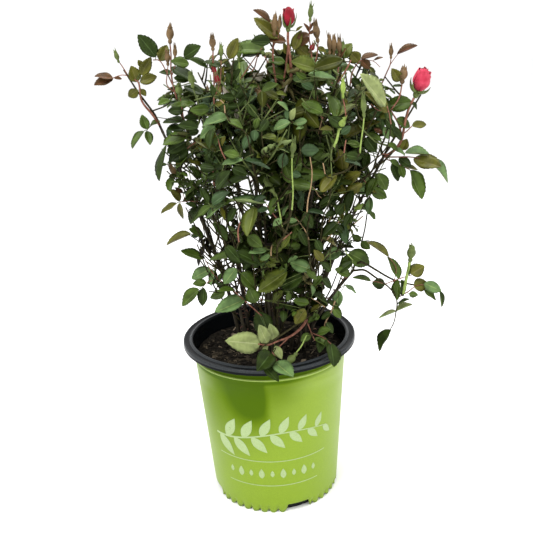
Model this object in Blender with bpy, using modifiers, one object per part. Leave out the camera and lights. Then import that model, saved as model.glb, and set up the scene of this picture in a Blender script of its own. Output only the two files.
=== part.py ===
"""A bushy red rose in a green nursery pot, as separate closed solids.

The pot holds a plug of soil. A short woody trunk and a ring of canes rise from the soil, each on
its own flat cut, and every one of them carries one mass of foliage: a stem, side shoots and
leaves that are grown by a seeded rule inside the space that belongs to that mass.

Run with: blender --background --python part.py   (metres, +Z up, pot centred on the origin)
"""

import math
import random
from dataclasses import dataclass

import bmesh
import bpy
from mathutils import Matrix, Vector
from mathutils.bvhtree import BVHTree

MM = 0.001
UP = Vector((0, 0, 1))
GOLDEN_ANGLE = math.radians(137.5)
SEED = 18

GAP = 0.3 * MM              # clearance that neighbouring solids keep

# ---------------------------------------------------------------- pot and soil
POT_HEIGHT = 222 * MM
RIM_RADIUS = 114.5 * MM     # outside of the rolled rim
RIM_DROP = 7.5 * MM         # how far the rim's outer lip hangs down
MOUTH_RADIUS = 103 * MM     # inner edge of the rim
WALL_TOP_RADIUS = 102.1 * MM
BASE_RADIUS = 86.2 * MM
WALL = 2.0 * MM
BEAD_HEIGHT = 200 * MM      # the thin raised ring below the rim
BEAD_DEPTH = 1.0 * MM
FOOT_RADIUS = 60 * MM       # flat disc in the middle of the underside
FLOOR = 2.5 * MM
SKIRT = 11 * MM             # height of the hollow ring between foot and wall
POT_SIDES = 38
DRAINS = 4
DRAIN_WIDTH = 28 * MM
DRAIN_HEIGHT = 9 * MM
FIRST_DRAIN = math.radians(-70)

SOIL_TOP = 202 * MM
SOIL_EDGE = 198 * MM
SOIL_FLAT_RADIUS = 66 * MM
SOIL_SIDES = 24

# ---------------------------------------------------------------- limbs
CLUSTER = Vector((8 * MM, 14 * MM))     # where the limbs come out of the soil
FOOT_LIMIT = 47 * MM
LIMB_BEND = 1.35                        # over 1 the limbs rise steeply, then lean out
LIMB_RINGS = 4
LIMB_SWAY = 6 * MM
LIMB_TRIES = 60
FOOT_SHIFT = 16 * MM         # how far a foot may move to keep its limb clear of the others
CANE_FOOT_RADIUS = 3.6 * MM
TRUNK_FOOT_RADIUS = 6.2 * MM
LIMB_TIP_RADIUS = 2.0 * MM
TRUNK_FLARE = 4.5 * MM
FLARE_HEIGHT = 12 * MM
FLAT_CUT = 3 * MM                       # straight start, so that the cut lies level

# ---------------------------------------------------------------- leaves and shoots
LEAF_LENGTH = 64 * MM
LEAF_WIDTH = 0.64                       # share of the length
LEAF_THICKNESS = 2.4 * MM
LEAF_WIDEST = 0.42                      # share of the length
LEAF_ROOT = 1.2 * MM                    # how far a root goes past its twig's middle
LEAF_TRIES = 12                         # attempts for each leaf that a mass should have
LEAF_STRAY = 0.45                       # how far the leaves' facings stray at random
LEAF_SLACK = 1.08                       # how far past a mass's size its leaves may reach,
TWIG_SLACK = 1.45                       # its twigs,
TIP_SLACK = 1.6                         # and the pieces at its named tips
SHOOT_RADIUS = 1.7 * MM
SHOOT_TIP_RADIUS = 1.1 * MM
SHOOT_SINK = 0.9 * MM
STEM_SHARES = (0.22, -0.12, 0.42)       # where the stem's three stretches end, by the mass's size
SHOOTS = 5
LEAVES = 16
SHORTEST_SHOOT = 14 * MM
LIMB_CLEARANCE = 0.5 * MM
SPACE_CLEARANCE = 0.4 * MM
BLOOM_SIZE = (25 * MM, 34 * MM)         # across, tall
BUD_SIZE = (10 * MM, 30 * MM)


@dataclass
class Mass:
    """One mass of foliage: its space is the power cell of its centre and size."""

    name: str
    centre: Vector
    size: float
    foot: Vector                        # where its bough ends and its stem starts
    shoots: int = SHOOTS
    leaves: int = LEAVES
    spread: float = 0.5                 # the limb's cut is at this share of its foot's distance


@dataclass
class Tier:
    """A ring of masses at one height of the crown."""

    name: str
    height: float
    ring: float
    count: int
    turn: float
    size: float
    spread: float


TIERS = (
    Tier("upper", 530 * MM, 92 * MM, 5, math.radians(-54), 76 * MM, 0.5),
    Tier("middle", 428 * MM, 82 * MM, 5, math.radians(-30), 72 * MM, 0.65),
    Tier("lower", 328 * MM, 62 * MM, 5, math.radians(-78), 60 * MM, 0.85),
)
CROWN_LEAN = 0.15                       # the crown's axis moves this much to +X for each unit of height
CROWN_LEAN_FROM = 330 * MM
CROWN_TOP = 628 * MM


def place(x, y, z):
    """A point given in millimetres."""
    return Vector((x, y, z)) * MM


# Masses that stand out of the round crown.
LONE_MASSES = (
    Mass("summit", place(34, 4, 566), 66 * MM, place(30, 4, 508), 6, 18, 0.0),
    Mass("left_sprig", place(-140, -20, 546), 56 * MM, place(-118, -10, 502), 3, 10),
    Mass("right_shoulder", place(177, -28, 500), 62 * MM, place(148, -26, 452), 5, 16),
    Mass("right_arch", place(166, -46, 300), 70 * MM, place(108, -42, 316), 3, 10),
    Mass("rim_spray", place(4, -92, 250), 60 * MM, place(48, -52, 258), 4, 12),
    Mass("low_back", place(10, 96, 262), 52 * MM, place(10, 66, 244), 5, 14, 0.85),
)

# The furthest tips of the crown, and what each ends in.
TIPS = (
    ("bloom", place(42, -40, 625)),
    ("bud", place(67, -20, 626)),
    ("leaf", place(6, -40, 622)),
    ("leaf", place(-61, -30, 592)),
    ("bud", place(-90, -30, 617)),
    ("bud", place(-45, -35, 605)),
    ("leaf", place(-128, -15, 603)),
    ("bud", place(-158, -25, 592)),
    ("leaf", place(-188, -30, 555)),
    ("leaf", place(-150, -30, 481)),
    ("leaf", place(111, -30, 588)),
    ("leaf", place(150, -20, 566)),
    ("bud", place(156, -25, 585)),
    ("leaf", place(188, -25, 577)),
    ("bloom", place(192, -30, 555)),
    ("leaf", place(229, -30, 424)),
    ("leaf", place(193, -40, 401)),
    ("bud", place(178, -50, 356)),
    ("leaf", place(222, -50, 272)),
    ("leaf", place(133, -50, 213)),
    ("leaf", place(-129, -20, 437)),
    ("leaf", place(-125, -20, 360)),
    ("leaf", place(-111, -40, 282)),
    ("leaf", place(-60, -84, 246)),
    ("leaf", place(7, -124, 210)),
    ("leaf", place(30, 150, 590)),
    ("leaf", place(-70, 120, 560)),
    ("leaf", place(120, 110, 575)),
)

COLOURS = {
    "pot": (0.30, 0.48, 0.05),
    "soil": (0.035, 0.022, 0.015),
    "trunk": (0.060, 0.035, 0.025),
    "cane": (0.075, 0.040, 0.030),
    "foliage": (0.045, 0.105, 0.035),
}
ROUGHNESS = {"pot": 0.38, "soil": 0.95, "trunk": 0.85, "cane": 0.75, "foliage": 0.55}


# ---------------------------------------------------------------- scene helpers
def clear_scene():
    """Remove every object that the scene holds."""
    for obj in list(bpy.data.objects):
        bpy.data.objects.remove(obj, do_unlink=True)


def new_collection(name):
    """A collection linked to the scene."""
    collection = bpy.data.collections.new(name)
    bpy.context.scene.collection.children.link(collection)
    return collection


def material(kind):
    """The Principled material of one kind of sub-part."""
    name = f"{kind}_finish"
    if name in bpy.data.materials:
        return bpy.data.materials[name]
    finish = bpy.data.materials.new(name)
    finish.use_nodes = True
    shader = finish.node_tree.nodes["Principled BSDF"]
    shader.inputs["Base Color"].default_value = (*COLOURS[kind], 1)
    shader.inputs["Roughness"].default_value = ROUGHNESS[kind]
    shader.inputs["Metallic"].default_value = 0
    return finish


def add_object(name, data, collection, kind=None):
    """Link a new object to a collection, with its material where it has one."""
    obj = bpy.data.objects.new(name, data)
    collection.objects.link(obj)
    if kind:
        data.materials.append(material(kind))
    return obj


def mesh_from(bm, name):
    """Turn a bmesh into a mesh with its faces pointing out, and free it."""
    bmesh.ops.recalc_face_normals(bm, faces=bm.faces)
    mesh = bpy.data.meshes.new(name)
    bm.to_mesh(mesh)
    bm.free()
    return mesh


def turned(name, profile, sides, collection, kind):
    """Turn a profile of (radius, height) points about Z with a Screw modifier."""
    mesh = bpy.data.meshes.new(name)
    points = [(radius, 0, height) for radius, height in profile]
    mesh.from_pydata(points, [(i, i + 1) for i in range(len(points) - 1)], [])
    obj = add_object(name, mesh, collection, kind)
    screw = obj.modifiers.new("turn", "SCREW")
    screw.steps = sides
    screw.render_steps = sides
    screw.use_merge_vertices = True
    screw.merge_threshold = 0.01 * MM
    screw.use_smooth_shade = False
    return obj


# ---------------------------------------------------------------- pot and soil
def wall_radius(height):
    """Outer radius of the pot's plain tapering wall."""
    return BASE_RADIUS + (WALL_TOP_RADIUS - BASE_RADIUS) * height / (POT_HEIGHT - RIM_DROP)


def build_pot(collection, cutters):
    """The turned pot with its rolled rim, bead ring, hollow foot ring and drain notches."""
    lip = 1.5 * MM
    inner = WALL
    under_rim = POT_HEIGHT - RIM_DROP
    ring_top = SKIRT + FLOOR
    profile = [
        (0, FLOOR),
        (FOOT_RADIUS - 2 * MM, FLOOR),
        (FOOT_RADIUS + 1 * MM, ring_top),
        (wall_radius(ring_top) - inner, ring_top),
        (wall_radius(under_rim) - inner, under_rim),
        (MOUTH_RADIUS - 1 * MM, POT_HEIGHT - 1.5 * MM),
        (MOUTH_RADIUS + 0.5 * MM, POT_HEIGHT),
        (RIM_RADIUS - 1.5 * MM, POT_HEIGHT),
        (RIM_RADIUS, POT_HEIGHT - 1.5 * MM),
        (RIM_RADIUS, under_rim),
        (RIM_RADIUS - lip, under_rim),
        (RIM_RADIUS - lip, POT_HEIGHT - 2.5 * MM),
        (MOUTH_RADIUS + 1 * MM, POT_HEIGHT - 2.5 * MM),
        (WALL_TOP_RADIUS, under_rim),
        (wall_radius(BEAD_HEIGHT), BEAD_HEIGHT + BEAD_DEPTH),
        (wall_radius(BEAD_HEIGHT) + BEAD_DEPTH, BEAD_HEIGHT),
        (wall_radius(BEAD_HEIGHT), BEAD_HEIGHT - BEAD_DEPTH),
        (BASE_RADIUS, 0),
        (BASE_RADIUS - inner, 0),
        (BASE_RADIUS - inner + 0.5 * MM, SKIRT),
        (FOOT_RADIUS + 3 * MM, SKIRT),
        (FOOT_RADIUS, 0),
        (0, 0),
    ]
    pot = turned("pot", profile, POT_SIDES, collection, "pot")
    depth = 12 * MM
    for index in range(DRAINS):
        angle = FIRST_DRAIN + index * math.tau / DRAINS
        bm = bmesh.new()
        bmesh.ops.create_cube(bm, size=1)
        bmesh.ops.scale(bm, vec=(depth, DRAIN_WIDTH, 2 * DRAIN_HEIGHT), verts=bm.verts)
        cutter = add_object(f"drain_cutter_{index + 1}", mesh_from(bm, "drain"), cutters)
        cutter.location = Matrix.Rotation(angle, 3, "Z") @ Vector((BASE_RADIUS, 0, 0))
        cutter.rotation_euler.z = angle
        cutter.hide_render = True
        cutter.display_type = "WIRE"
        cut = pot.modifiers.new(f"drain_{index + 1}", "BOOLEAN")
        cut.operation = "DIFFERENCE"
        cut.object = cutter
    return pot


def build_soil(collection):
    """The plug of soil, a gap clear of the pot's wall and floor."""
    ring_top = SKIRT + FLOOR
    clear = WALL + GAP
    profile = [
        (0, SOIL_TOP),
        (SOIL_FLAT_RADIUS, SOIL_TOP),
        (wall_radius(SOIL_EDGE) - clear - 0.1 * MM, SOIL_EDGE),
        (wall_radius(ring_top + GAP) - clear - 0.1 * MM, ring_top + GAP),
        (FOOT_RADIUS + 1 * MM - 3 * GAP, ring_top + GAP),
        (FOOT_RADIUS - 2 * MM - 3 * GAP, FLOOR + GAP),
        (0, FLOOR + GAP),
    ]
    return turned("soil", profile, SOIL_SIDES, collection, "soil")


# ---------------------------------------------------------------- limbs
def bearing(azimuth, lift):
    """The unit vector at an azimuth and a lift above level."""
    level = math.cos(lift)
    return Vector((math.cos(azimuth) * level, math.sin(azimuth) * level, math.sin(lift)))


def limb_path(foot, tip, sway):
    """Points of a limb from its flat cut to its tip, steep at first and then leaning out."""
    path = [foot, foot + UP * FLAT_CUT]
    start = path[-1]
    side = (tip - foot).cross(UP)
    side = side.normalized() if side.length > MM else Vector((1, 0, 0))
    for ring in range(1, LIMB_RINGS + 1):
        t = ring / LIMB_RINGS
        point = start.lerp(tip, t ** LIMB_BEND)
        point.z = start.z + (tip.z - start.z) * t
        path.append(point + side * sway * math.sin(math.pi * t))
    return path


def limb_radius(height, top, foot_radius, flare):
    """Radius of a limb at a height above its cut, with the flare at its foot."""
    taper = foot_radius + (LIMB_TIP_RADIUS - foot_radius) * height / top
    return taper + flare * math.exp(-height / FLARE_HEIGHT)


def limb_curve(name, path, foot_radius, flare, extra=0.0):
    """A tapering six-sided tube along a path, as a curve with filled caps."""
    curve = bpy.data.curves.new(name, "CURVE")
    curve.dimensions = "3D"
    curve.bevel_depth = MM
    curve.bevel_resolution = 1
    curve.use_fill_caps = True
    spline = curve.splines.new("POLY")
    spline.points.add(len(path) - 1)
    top = path[-1].z - path[0].z
    for point, place_ in zip(spline.points, path):
        point.co = (*place_, 1)
        point.radius = (limb_radius(place_.z - path[0].z, top, foot_radius, flare) + extra) / MM
    return curve


def foot_on_soil(mass):
    """Where the limb of a mass comes out of the soil."""
    out = mass.foot.xy - CLUSTER
    reach = min(out.length * mass.spread, FOOT_LIMIT)
    spot = CLUSTER + out.normalized() * reach
    return Vector((*spot, SOIL_TOP + GAP))


def limb_solid(path, foot_radius, flare):
    """A closed bmesh of a limb that is fatter than the limb by its clearance."""
    curve = limb_curve("probe", path, foot_radius, flare, LIMB_CLEARANCE)
    probe = bpy.data.objects.new("probe", curve)
    mesh = bpy.data.meshes.new_from_object(probe)
    bm = bmesh.new()
    bm.from_mesh(mesh)
    bpy.data.objects.remove(probe)
    bpy.data.curves.remove(curve)
    bpy.data.meshes.remove(mesh)
    return bm


def build_limbs(masses, collection):
    """One limb for each mass. Returns their paths and fatter solids of them.

    A limb takes the first foot and sway that keep it clear of the limbs that stand.
    """
    paths = {}
    solids = []
    rng = random.Random(SEED)
    for mass in masses:
        trunk = mass.name == "summit"
        foot = foot_on_soil(mass)
        sizes = (TRUNK_FOOT_RADIUS, TRUNK_FLARE) if trunk else (CANE_FOOT_RADIUS, 0.0)
        for attempt in range(LIMB_TRIES):
            shift = bearing(rng.uniform(0, math.tau), 0) * FOOT_SHIFT * attempt / LIMB_TRIES
            path = limb_path(foot + shift, mass.foot, rng.uniform(-1, 1) * LIMB_SWAY)
            solid = limb_solid(path, *sizes)
            tree = BVHTree.FromBMesh(solid)
            if not any(tree.overlap(BVHTree.FromBMesh(other)) for other in solids):
                break
        name = "trunk" if trunk else f"cane_{mass.name}"
        add_object(name, limb_curve(name, path, *sizes), collection, "trunk" if trunk else "cane")
        paths[mass.name] = path
        solids.append(solid)
    return paths, solids


# ---------------------------------------------------------------- foliage
def plan_masses():
    """The masses of the tiers and the lone masses, in one list."""
    masses = []
    for tier in TIERS:
        axis = (tier.height - CROWN_LEAN_FROM) * CROWN_LEAN
        for index in range(tier.count):
            angle = tier.turn + index * math.tau / tier.count
            out = Vector((math.cos(angle), math.sin(angle), 0))
            centre = Vector((axis, 0, tier.height)) + out * tier.ring
            foot = centre - out * tier.size * 0.30 - UP * tier.size * 0.62
            name = f"{tier.name}_{index + 1}"
            masses.append(Mass(name, centre, tier.size, foot, spread=tier.spread))
    return masses + list(LONE_MASSES)


class Space:
    """The room that one mass may fill: its own cell, its reach, and no limb, pot or soil."""

    def __init__(self, mass, masses, solids):
        self.mass = mass
        self.others = [other for other in masses if other is not mass]
        self.solids = solids

    def holds(self, point, slack=1.0):
        """True where a point is in the mass's cell and within its reach."""
        mass = self.mass
        if point.z > CROWN_TOP or (point - mass.centre).length > mass.size * slack:
            return False
        own = (point - mass.centre).length_squared - mass.size ** 2
        for other in self.others:
            theirs = (point - other.centre).length_squared - other.size ** 2
            apart = (other.centre - mass.centre).length
            if own - theirs > -2 * apart * SPACE_CLEARANCE:
                return False
        return True

    def fits(self, bm, slack=1.0):
        """True where a closed piece lies wholly in the space and touches no limb."""
        if not all(self.holds(vert.co, slack) for vert in bm.verts):
            return False
        return not BVHTree.FromBMesh(bm).overlap(self.solids)


def aimed(start, direction, roll):
    """A matrix that takes +Z to a direction, +X to a roll about it, and the origin to start."""
    turn = direction.to_track_quat("Z", "X").to_matrix().to_4x4()
    return Matrix.Translation(start) @ turn @ Matrix.Rotation(roll, 4, "Z")


def twig(start, end, radius, tip_radius, roll):
    """One straight three-sided twig, its start sunk into what it grows from."""
    along = (end - start).normalized()
    begin = start - along * SHOOT_SINK
    length = (end - begin).length
    bm = bmesh.new()
    bmesh.ops.create_cone(bm, cap_ends=True, segments=3, radius1=radius, radius2=tip_radius,
                          depth=length, matrix=Matrix.Translation((0, 0, length / 2)))
    bm.transform(aimed(begin, along, roll))
    return bm


def blade(start, direction, length, roll):
    """A leaf of eight faces: a long diamond whose root goes past the twig's middle."""
    bm = bmesh.new()
    bmesh.ops.create_uvsphere(bm, u_segments=4, v_segments=2, radius=1)
    for vert in bm.verts:
        x, y, z = vert.co
        height = (z + 1) / 2 if abs(z) > 0.5 else LEAF_WIDEST
        vert.co = (x * length * LEAF_WIDTH / 2, y * LEAF_THICKNESS / 2, height * length)
    bm.transform(aimed(start - direction * LEAF_ROOT, direction, roll))
    return bm


def swelling(start, direction, size, sides, rings):
    """A bud or a half open bloom: a round body, its foot sunk into its stalk."""
    across, tall = size
    bm = bmesh.new()
    bmesh.ops.create_uvsphere(bm, u_segments=sides, v_segments=rings, radius=0.5)
    bmesh.ops.scale(bm, vec=(across, across, tall), verts=bm.verts)
    bmesh.ops.translate(bm, vec=(0, 0, tall / 2), verts=bm.verts)
    bm.transform(aimed(start - direction * LEAF_ROOT, direction, 0))
    return bm


def tip_piece(kind, start, direction, length, roll):
    """The piece that a shoot ends in."""
    if kind == "bloom":
        return swelling(start, direction, BLOOM_SIZE, 6, 4)
    if kind == "bud":
        return swelling(start, direction, BUD_SIZE, 4, 2)
    return blade(start, direction, length, roll)


def leaf_roll(direction, facing):
    """The roll that turns a blade's broad side towards a facing."""
    turn = direction.to_track_quat("Z", "X").to_matrix()
    return math.atan2(-facing.dot(turn.col[0]), facing.dot(turn.col[1]))


class Growth:
    """Grows one mass inside its space, piece by piece, from a seeded rule."""

    def __init__(self, mass, space, limb, rng):
        self.mass = mass
        self.space = space
        self.rng = rng
        self.pieces = []                # closed bmeshes, to be joined
        self.twigs = []                 # (start, end) of each twig that stands
        self.blades = []                # search trees of the leaves that stand
        self.along = (limb[-1] - limb[-2]).normalized()
        self.root = limb[-1] + self.along * GAP

    def add_twig(self, start, end, radius, tip_radius):
        """Add a twig if it fits. Returns True where it does."""
        bm = twig(start, end, radius, tip_radius, self.rng.uniform(0, math.tau))
        if not self.space.fits(bm, TWIG_SLACK):
            bm.free()
            return False
        self.pieces.append(bm)
        self.twigs.append((start, end))
        return True

    def grow_stem(self):
        """The stem: on from the bough's tip, through the centre and out at the top."""
        mass = self.mass
        outward = (mass.centre - mass.foot).normalized()
        first = self.root + self.along * mass.size * STEM_SHARES[0]
        self.pieces.append(twig(self.root + self.along * SHOOT_SINK, first, LIMB_TIP_RADIUS,
                                LIMB_TIP_RADIUS * 0.92, 0))
        self.twigs.append((self.root, first))
        radius = LIMB_TIP_RADIUS * 0.9
        start = first
        for goal in (mass.centre + outward * mass.size * share for share in STEM_SHARES[1:]):
            for part in (1.0, 0.8, 0.6):
                end = start.lerp(goal, part)
                if self.add_twig(start, end, radius, radius * 0.8):
                    start = end
                    radius *= 0.8
                    break

    def stem_point(self, share):
        """A point on the stem, at a share of its length."""
        stem = self.twigs[:len(STEM_SHARES)]
        lengths = [(end - start).length for start, end in stem]
        left = share * sum(lengths)
        for (start, end), length in zip(stem, lengths):
            if left <= length:
                return start.lerp(end, left / length)
            left -= length
        return stem[-1][1].copy()

    def facing(self, point):
        """Where a leaf's broad side looks: up and out of the crown, a little at random."""
        rng = self.rng
        out = Vector((point.x - self.mass.foot.x * 0.5, point.y - self.mass.foot.y * 0.5, 0))
        out = out.normalized() if out.length > MM else Vector((1, 0, 0))
        stray = Vector((rng.gauss(0, 1), rng.gauss(0, 1), rng.gauss(0, 1))) * LEAF_STRAY
        return out * 0.8 + UP * 0.7 + stray

    def add_leaf(self, start, direction, length):
        """Add a leaf if it fits and meets no other leaf. Returns True where it does."""
        bm = blade(start, direction, length, leaf_roll(direction, self.facing(start)))
        tree = BVHTree.FromBMesh(bm)
        if not self.space.fits(bm, LEAF_SLACK) or any(tree.overlap(other) for other in self.blades):
            bm.free()
            return False
        self.pieces.append(bm)
        self.blades.append(tree)
        return True

    def grow_to(self, kind, tip):
        """A shoot to a leaf, bud or bloom whose tip is a given point, from where it fits."""
        length = {"bloom": BLOOM_SIZE[1], "bud": BUD_SIZE[1]}.get(kind, LEAF_LENGTH * 0.9)
        starts = [self.stem_point(share / 10) for share in range(2, 11)]
        starts.sort(key=lambda point: (point - tip).length + max(0, point.z - tip.z + 40 * MM))
        for start in starts:
            way = (tip - start).normalized()
            if kind != "leaf":
                way = (way + UP * 1.6).normalized()
            end = tip - way * (length - LEAF_ROOT)
            bm = tip_piece(kind, end, way, length, leaf_roll(way, self.facing(end)))
            if self.space.fits(bm, TIP_SLACK):
                if self.add_twig(start, end, SHOOT_RADIUS, SHOOT_TIP_RADIUS):
                    self.pieces.append(bm)
                    self.blades.append(BVHTree.FromBMesh(bm))
                    return
            bm.free()

    def grow_shoots(self):
        """The side shoots, at the golden angle up the stem, low ones level and high ones rising."""
        mass, rng = self.mass, self.rng
        phase = rng.uniform(0, math.tau)
        for index in range(mass.shoots):
            share = 0.12 + 0.84 * index / (mass.shoots - 1)
            start = self.stem_point(share)
            way = bearing(phase + index * GOLDEN_ANGLE, math.radians(rng.uniform(-15, 15) + 50 * share))
            length = mass.size * rng.uniform(0.55, 0.8)
            while length > SHORTEST_SHOOT:
                if self.add_twig(start, start + way * length, SHOOT_RADIUS, SHOOT_TIP_RADIUS):
                    break
                length *= 0.8

    def grow_leaves(self):
        """Leaves at the ends of the shoots, then along every twig until the mass has enough."""
        mass, rng = self.mass, self.rng
        for start, end in self.twigs[len(STEM_SHARES) - 1:]:
            along = (end - start).normalized()
            self.add_leaf(end - along * SHOOT_SINK, along, LEAF_LENGTH * rng.uniform(0.8, 1.0))
        for attempt in range(LEAF_TRIES * mass.leaves):
            if len(self.blades) >= mass.leaves:
                break
            start, end = self.twigs[attempt % len(self.twigs)]
            at = start.lerp(end, rng.uniform(0.2, 0.95))
            along = (end - start).normalized()
            out = (at - mass.centre) / mass.size
            way = bearing(rng.uniform(0, math.tau), rng.uniform(-0.7, 0.6)) + along * 0.5 + out
            self.add_leaf(at, way.normalized(), LEAF_LENGTH * rng.uniform(0.7, 1.0))


def join_pieces(name, pieces, collection):
    """Fuse overlapping closed pieces into one solid with a single union on a collection."""
    bits = new_collection(f"{name}_pieces")
    first, *rest = pieces
    solid = add_object(name, mesh_from(first, name), collection, "foliage")
    for index, bm in enumerate(rest):
        add_object(f"{name}_piece_{index}", mesh_from(bm, "piece"), bits)
    union = solid.modifiers.new("union", "BOOLEAN")
    union.operation = "UNION"
    union.operand_type = "COLLECTION"
    union.collection = bits
    union.solver = "EXACT"
    fused = bpy.data.meshes.new_from_object(solid.evaluated_get(bpy.context.evaluated_depsgraph_get()))
    solid.modifiers.remove(union)
    solid.data = fused
    fused.name = name
    for obj in list(bits.objects):
        bpy.data.objects.remove(obj, do_unlink=True)
    bpy.data.collections.remove(bits)
    drop_scraps(fused)
    fused.materials.clear()
    fused.materials.append(material("foliage"))
    return solid


def drop_scraps(mesh):
    """Keep only the largest connected piece, which fills sealed hollows and drops loose bits."""
    bm = bmesh.new()
    bm.from_mesh(mesh)
    bm.verts.index_update()
    seen = set()
    groups = []
    for vert in bm.verts:
        if vert.index in seen:
            continue
        group, queue = [], [vert]
        seen.add(vert.index)
        while queue:
            here = queue.pop()
            group.append(here)
            for edge in here.link_edges:
                other = edge.other_vert(here)
                if other.index not in seen:
                    seen.add(other.index)
                    queue.append(other)
        groups.append(group)
    groups.sort(key=len, reverse=True)
    loose = [vert for group in groups[1:] for vert in group]
    bmesh.ops.delete(bm, geom=loose, context="VERTS")
    bm.to_mesh(mesh)
    bm.free()


def build_foliage(masses, limbs, solids, collection):
    """Grow every mass from its own seed, and fuse it."""
    tips = {mass.name: [] for mass in masses}
    for kind, tip in TIPS:
        owner = min(masses, key=lambda mass: (tip - mass.centre).length_squared - mass.size ** 2)
        tips[owner.name].append((kind, tip))
    for index, mass in enumerate(masses):
        space = Space(mass, masses, solids)
        growth = Growth(mass, space, limbs[mass.name], random.Random(SEED + index))
        growth.grow_stem()
        for kind, tip in tips[mass.name]:
            growth.grow_to(kind, tip)
        growth.grow_shoots()
        growth.grow_leaves()
        join_pieces(f"foliage_{mass.name}", growth.pieces, collection)


def search_tree(limbs, objects):
    """One search tree of the fatter limbs and of the objects as they are."""
    whole = bmesh.new()
    depsgraph = bpy.context.evaluated_depsgraph_get()
    for limb in limbs:
        mesh = mesh_from(limb, "limb")
        whole.from_mesh(mesh)
        bpy.data.meshes.remove(mesh)
    for obj in objects:
        whole.from_mesh(obj.evaluated_get(depsgraph).to_mesh())
    tree = BVHTree.FromBMesh(whole)
    whole.free()
    return tree


def main():
    """Build the whole plant and its pot."""
    clear_scene()
    plant = new_collection("rose_bush")
    cutters = new_collection("cutters")
    pot = build_pot(plant, cutters)
    soil = build_soil(plant)
    masses = plan_masses()
    limbs, solids = build_limbs(masses, plant)
    build_foliage(masses, limbs, search_tree(solids, (pot, soil)), plant)


main()
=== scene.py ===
"""A bushy red rose in a green nursery pot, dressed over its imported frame.

The pot, the soil, the trunk and the canes are modelled anew over the frame's solids. The foliage
grows on from the tips of the canes by the same seeded rule as the solids: a stem through each mass,
side shoots at the golden angle, and leaves along them, carried on here to leaflets with teeth, buds
and blooms.
"""

import logging
import math
import random
from dataclasses import dataclass, field
from enum import Enum
from typing import Callable, ClassVar, Iterable, Sequence

import bpy
import numpy as np
from mathutils import Matrix, Vector
from mathutils.noise import noise


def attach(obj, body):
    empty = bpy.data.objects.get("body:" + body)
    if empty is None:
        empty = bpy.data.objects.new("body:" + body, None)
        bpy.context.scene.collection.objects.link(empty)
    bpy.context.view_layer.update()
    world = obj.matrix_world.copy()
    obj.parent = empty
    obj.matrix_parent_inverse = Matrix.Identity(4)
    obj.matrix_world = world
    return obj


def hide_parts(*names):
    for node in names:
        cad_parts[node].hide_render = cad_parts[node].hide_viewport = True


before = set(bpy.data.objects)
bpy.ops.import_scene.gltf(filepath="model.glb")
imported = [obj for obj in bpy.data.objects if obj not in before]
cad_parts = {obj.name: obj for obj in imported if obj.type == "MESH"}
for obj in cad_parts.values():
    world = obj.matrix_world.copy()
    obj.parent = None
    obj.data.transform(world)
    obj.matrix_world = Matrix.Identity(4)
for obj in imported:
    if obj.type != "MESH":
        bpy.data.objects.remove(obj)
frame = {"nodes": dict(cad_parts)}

MM = 0.001
TINY = 1e-12
UP = Vector((0, 0, 1))
GOLDEN_ANGLE = math.radians(137.5)
LOG = logging.getLogger("rose_bush")
Colour = tuple[float, float, float]
Path = list[Vector]


def millimetres(x: float, y: float, z: float) -> Vector:
    """A point given in millimetres."""
    return Vector((x, y, z)) * MM


# ---------------------------------------------------------------- meshes
class Pool:
    """Gathers points, faces and the finish of each face, and makes one mesh of them."""

    def __init__(self) -> None:
        """An empty pool."""
        self.points: list[np.ndarray] = []
        self.faces: list[np.ndarray] = []
        self.slots: list[np.ndarray] = []
        self.count = 0

    def add(self, points: np.ndarray, faces: np.ndarray, slots: int | np.ndarray = 0) -> None:
        """Add a patch of mesh.

        Args:
            points: The patch's points, one a row.
            faces: Four point numbers a row, the last -1 in a triangle.
            slots: The finish number of every face, or one for all of them.
        """
        self.points.append(points)
        self.faces.append(np.where(faces < 0, -1, faces + self.count))
        self.slots.append(np.broadcast_to(np.asarray(slots, np.int32), (len(faces),)))
        self.count += len(points)

    def triangles(self) -> int:
        """How many triangles the pool holds."""
        return sum(int((faces[:, 3] >= 0).sum()) + len(faces) for faces in self.faces)

    def build(self, name: str, finishes: Sequence["Finish"], smooth: bool = True) -> bpy.types.Object:
        """Make the piece.

        Args:
            name: The piece's name.
            finishes: The finishes that the faces' numbers stand for.
            smooth: Whether the faces are shaded smooth.

        Returns:
            The new object, linked to the scene.
        """
        points = np.concatenate(self.points).astype(np.float32)
        faces = np.concatenate(self.faces)
        corners = faces.ravel()
        corners = corners[corners >= 0].astype(np.int32)
        sizes = np.where(faces[:, 3] < 0, 3, 4)
        starts = np.concatenate(([0], np.cumsum(sizes)[:-1])).astype(np.int32)
        mesh = bpy.data.meshes.new(name)
        mesh.vertices.add(len(points))
        mesh.vertices.foreach_set("co", points.ravel())
        mesh.loops.add(len(corners))
        mesh.loops.foreach_set("vertex_index", corners)
        mesh.polygons.add(len(faces))
        mesh.polygons.foreach_set("loop_start", starts)
        mesh.polygons.foreach_set("material_index", np.concatenate(self.slots).astype(np.int32))
        mesh.polygons.foreach_set("use_smooth", np.full(len(faces), smooth))
        mesh.update(calc_edges=True)
        mesh.validate()
        for finish in finishes:
            mesh.materials.append(finish.material())
        piece = bpy.data.objects.new(name, mesh)
        bpy.context.scene.collection.objects.link(piece)
        return piece


def band(first: int, second: int, sides: int) -> np.ndarray:
    """The faces between two closed rings of points.

    Args:
        first: Number of the first point of the lower ring.
        second: Number of the first point of the upper ring.
        sides: How many points each ring has.

    Returns:
        One face of four points for each side.
    """
    here = np.arange(sides)
    there = (here + 1) % sides
    return np.stack((first + here, first + there, second + there, second + here), axis=1)


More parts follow.
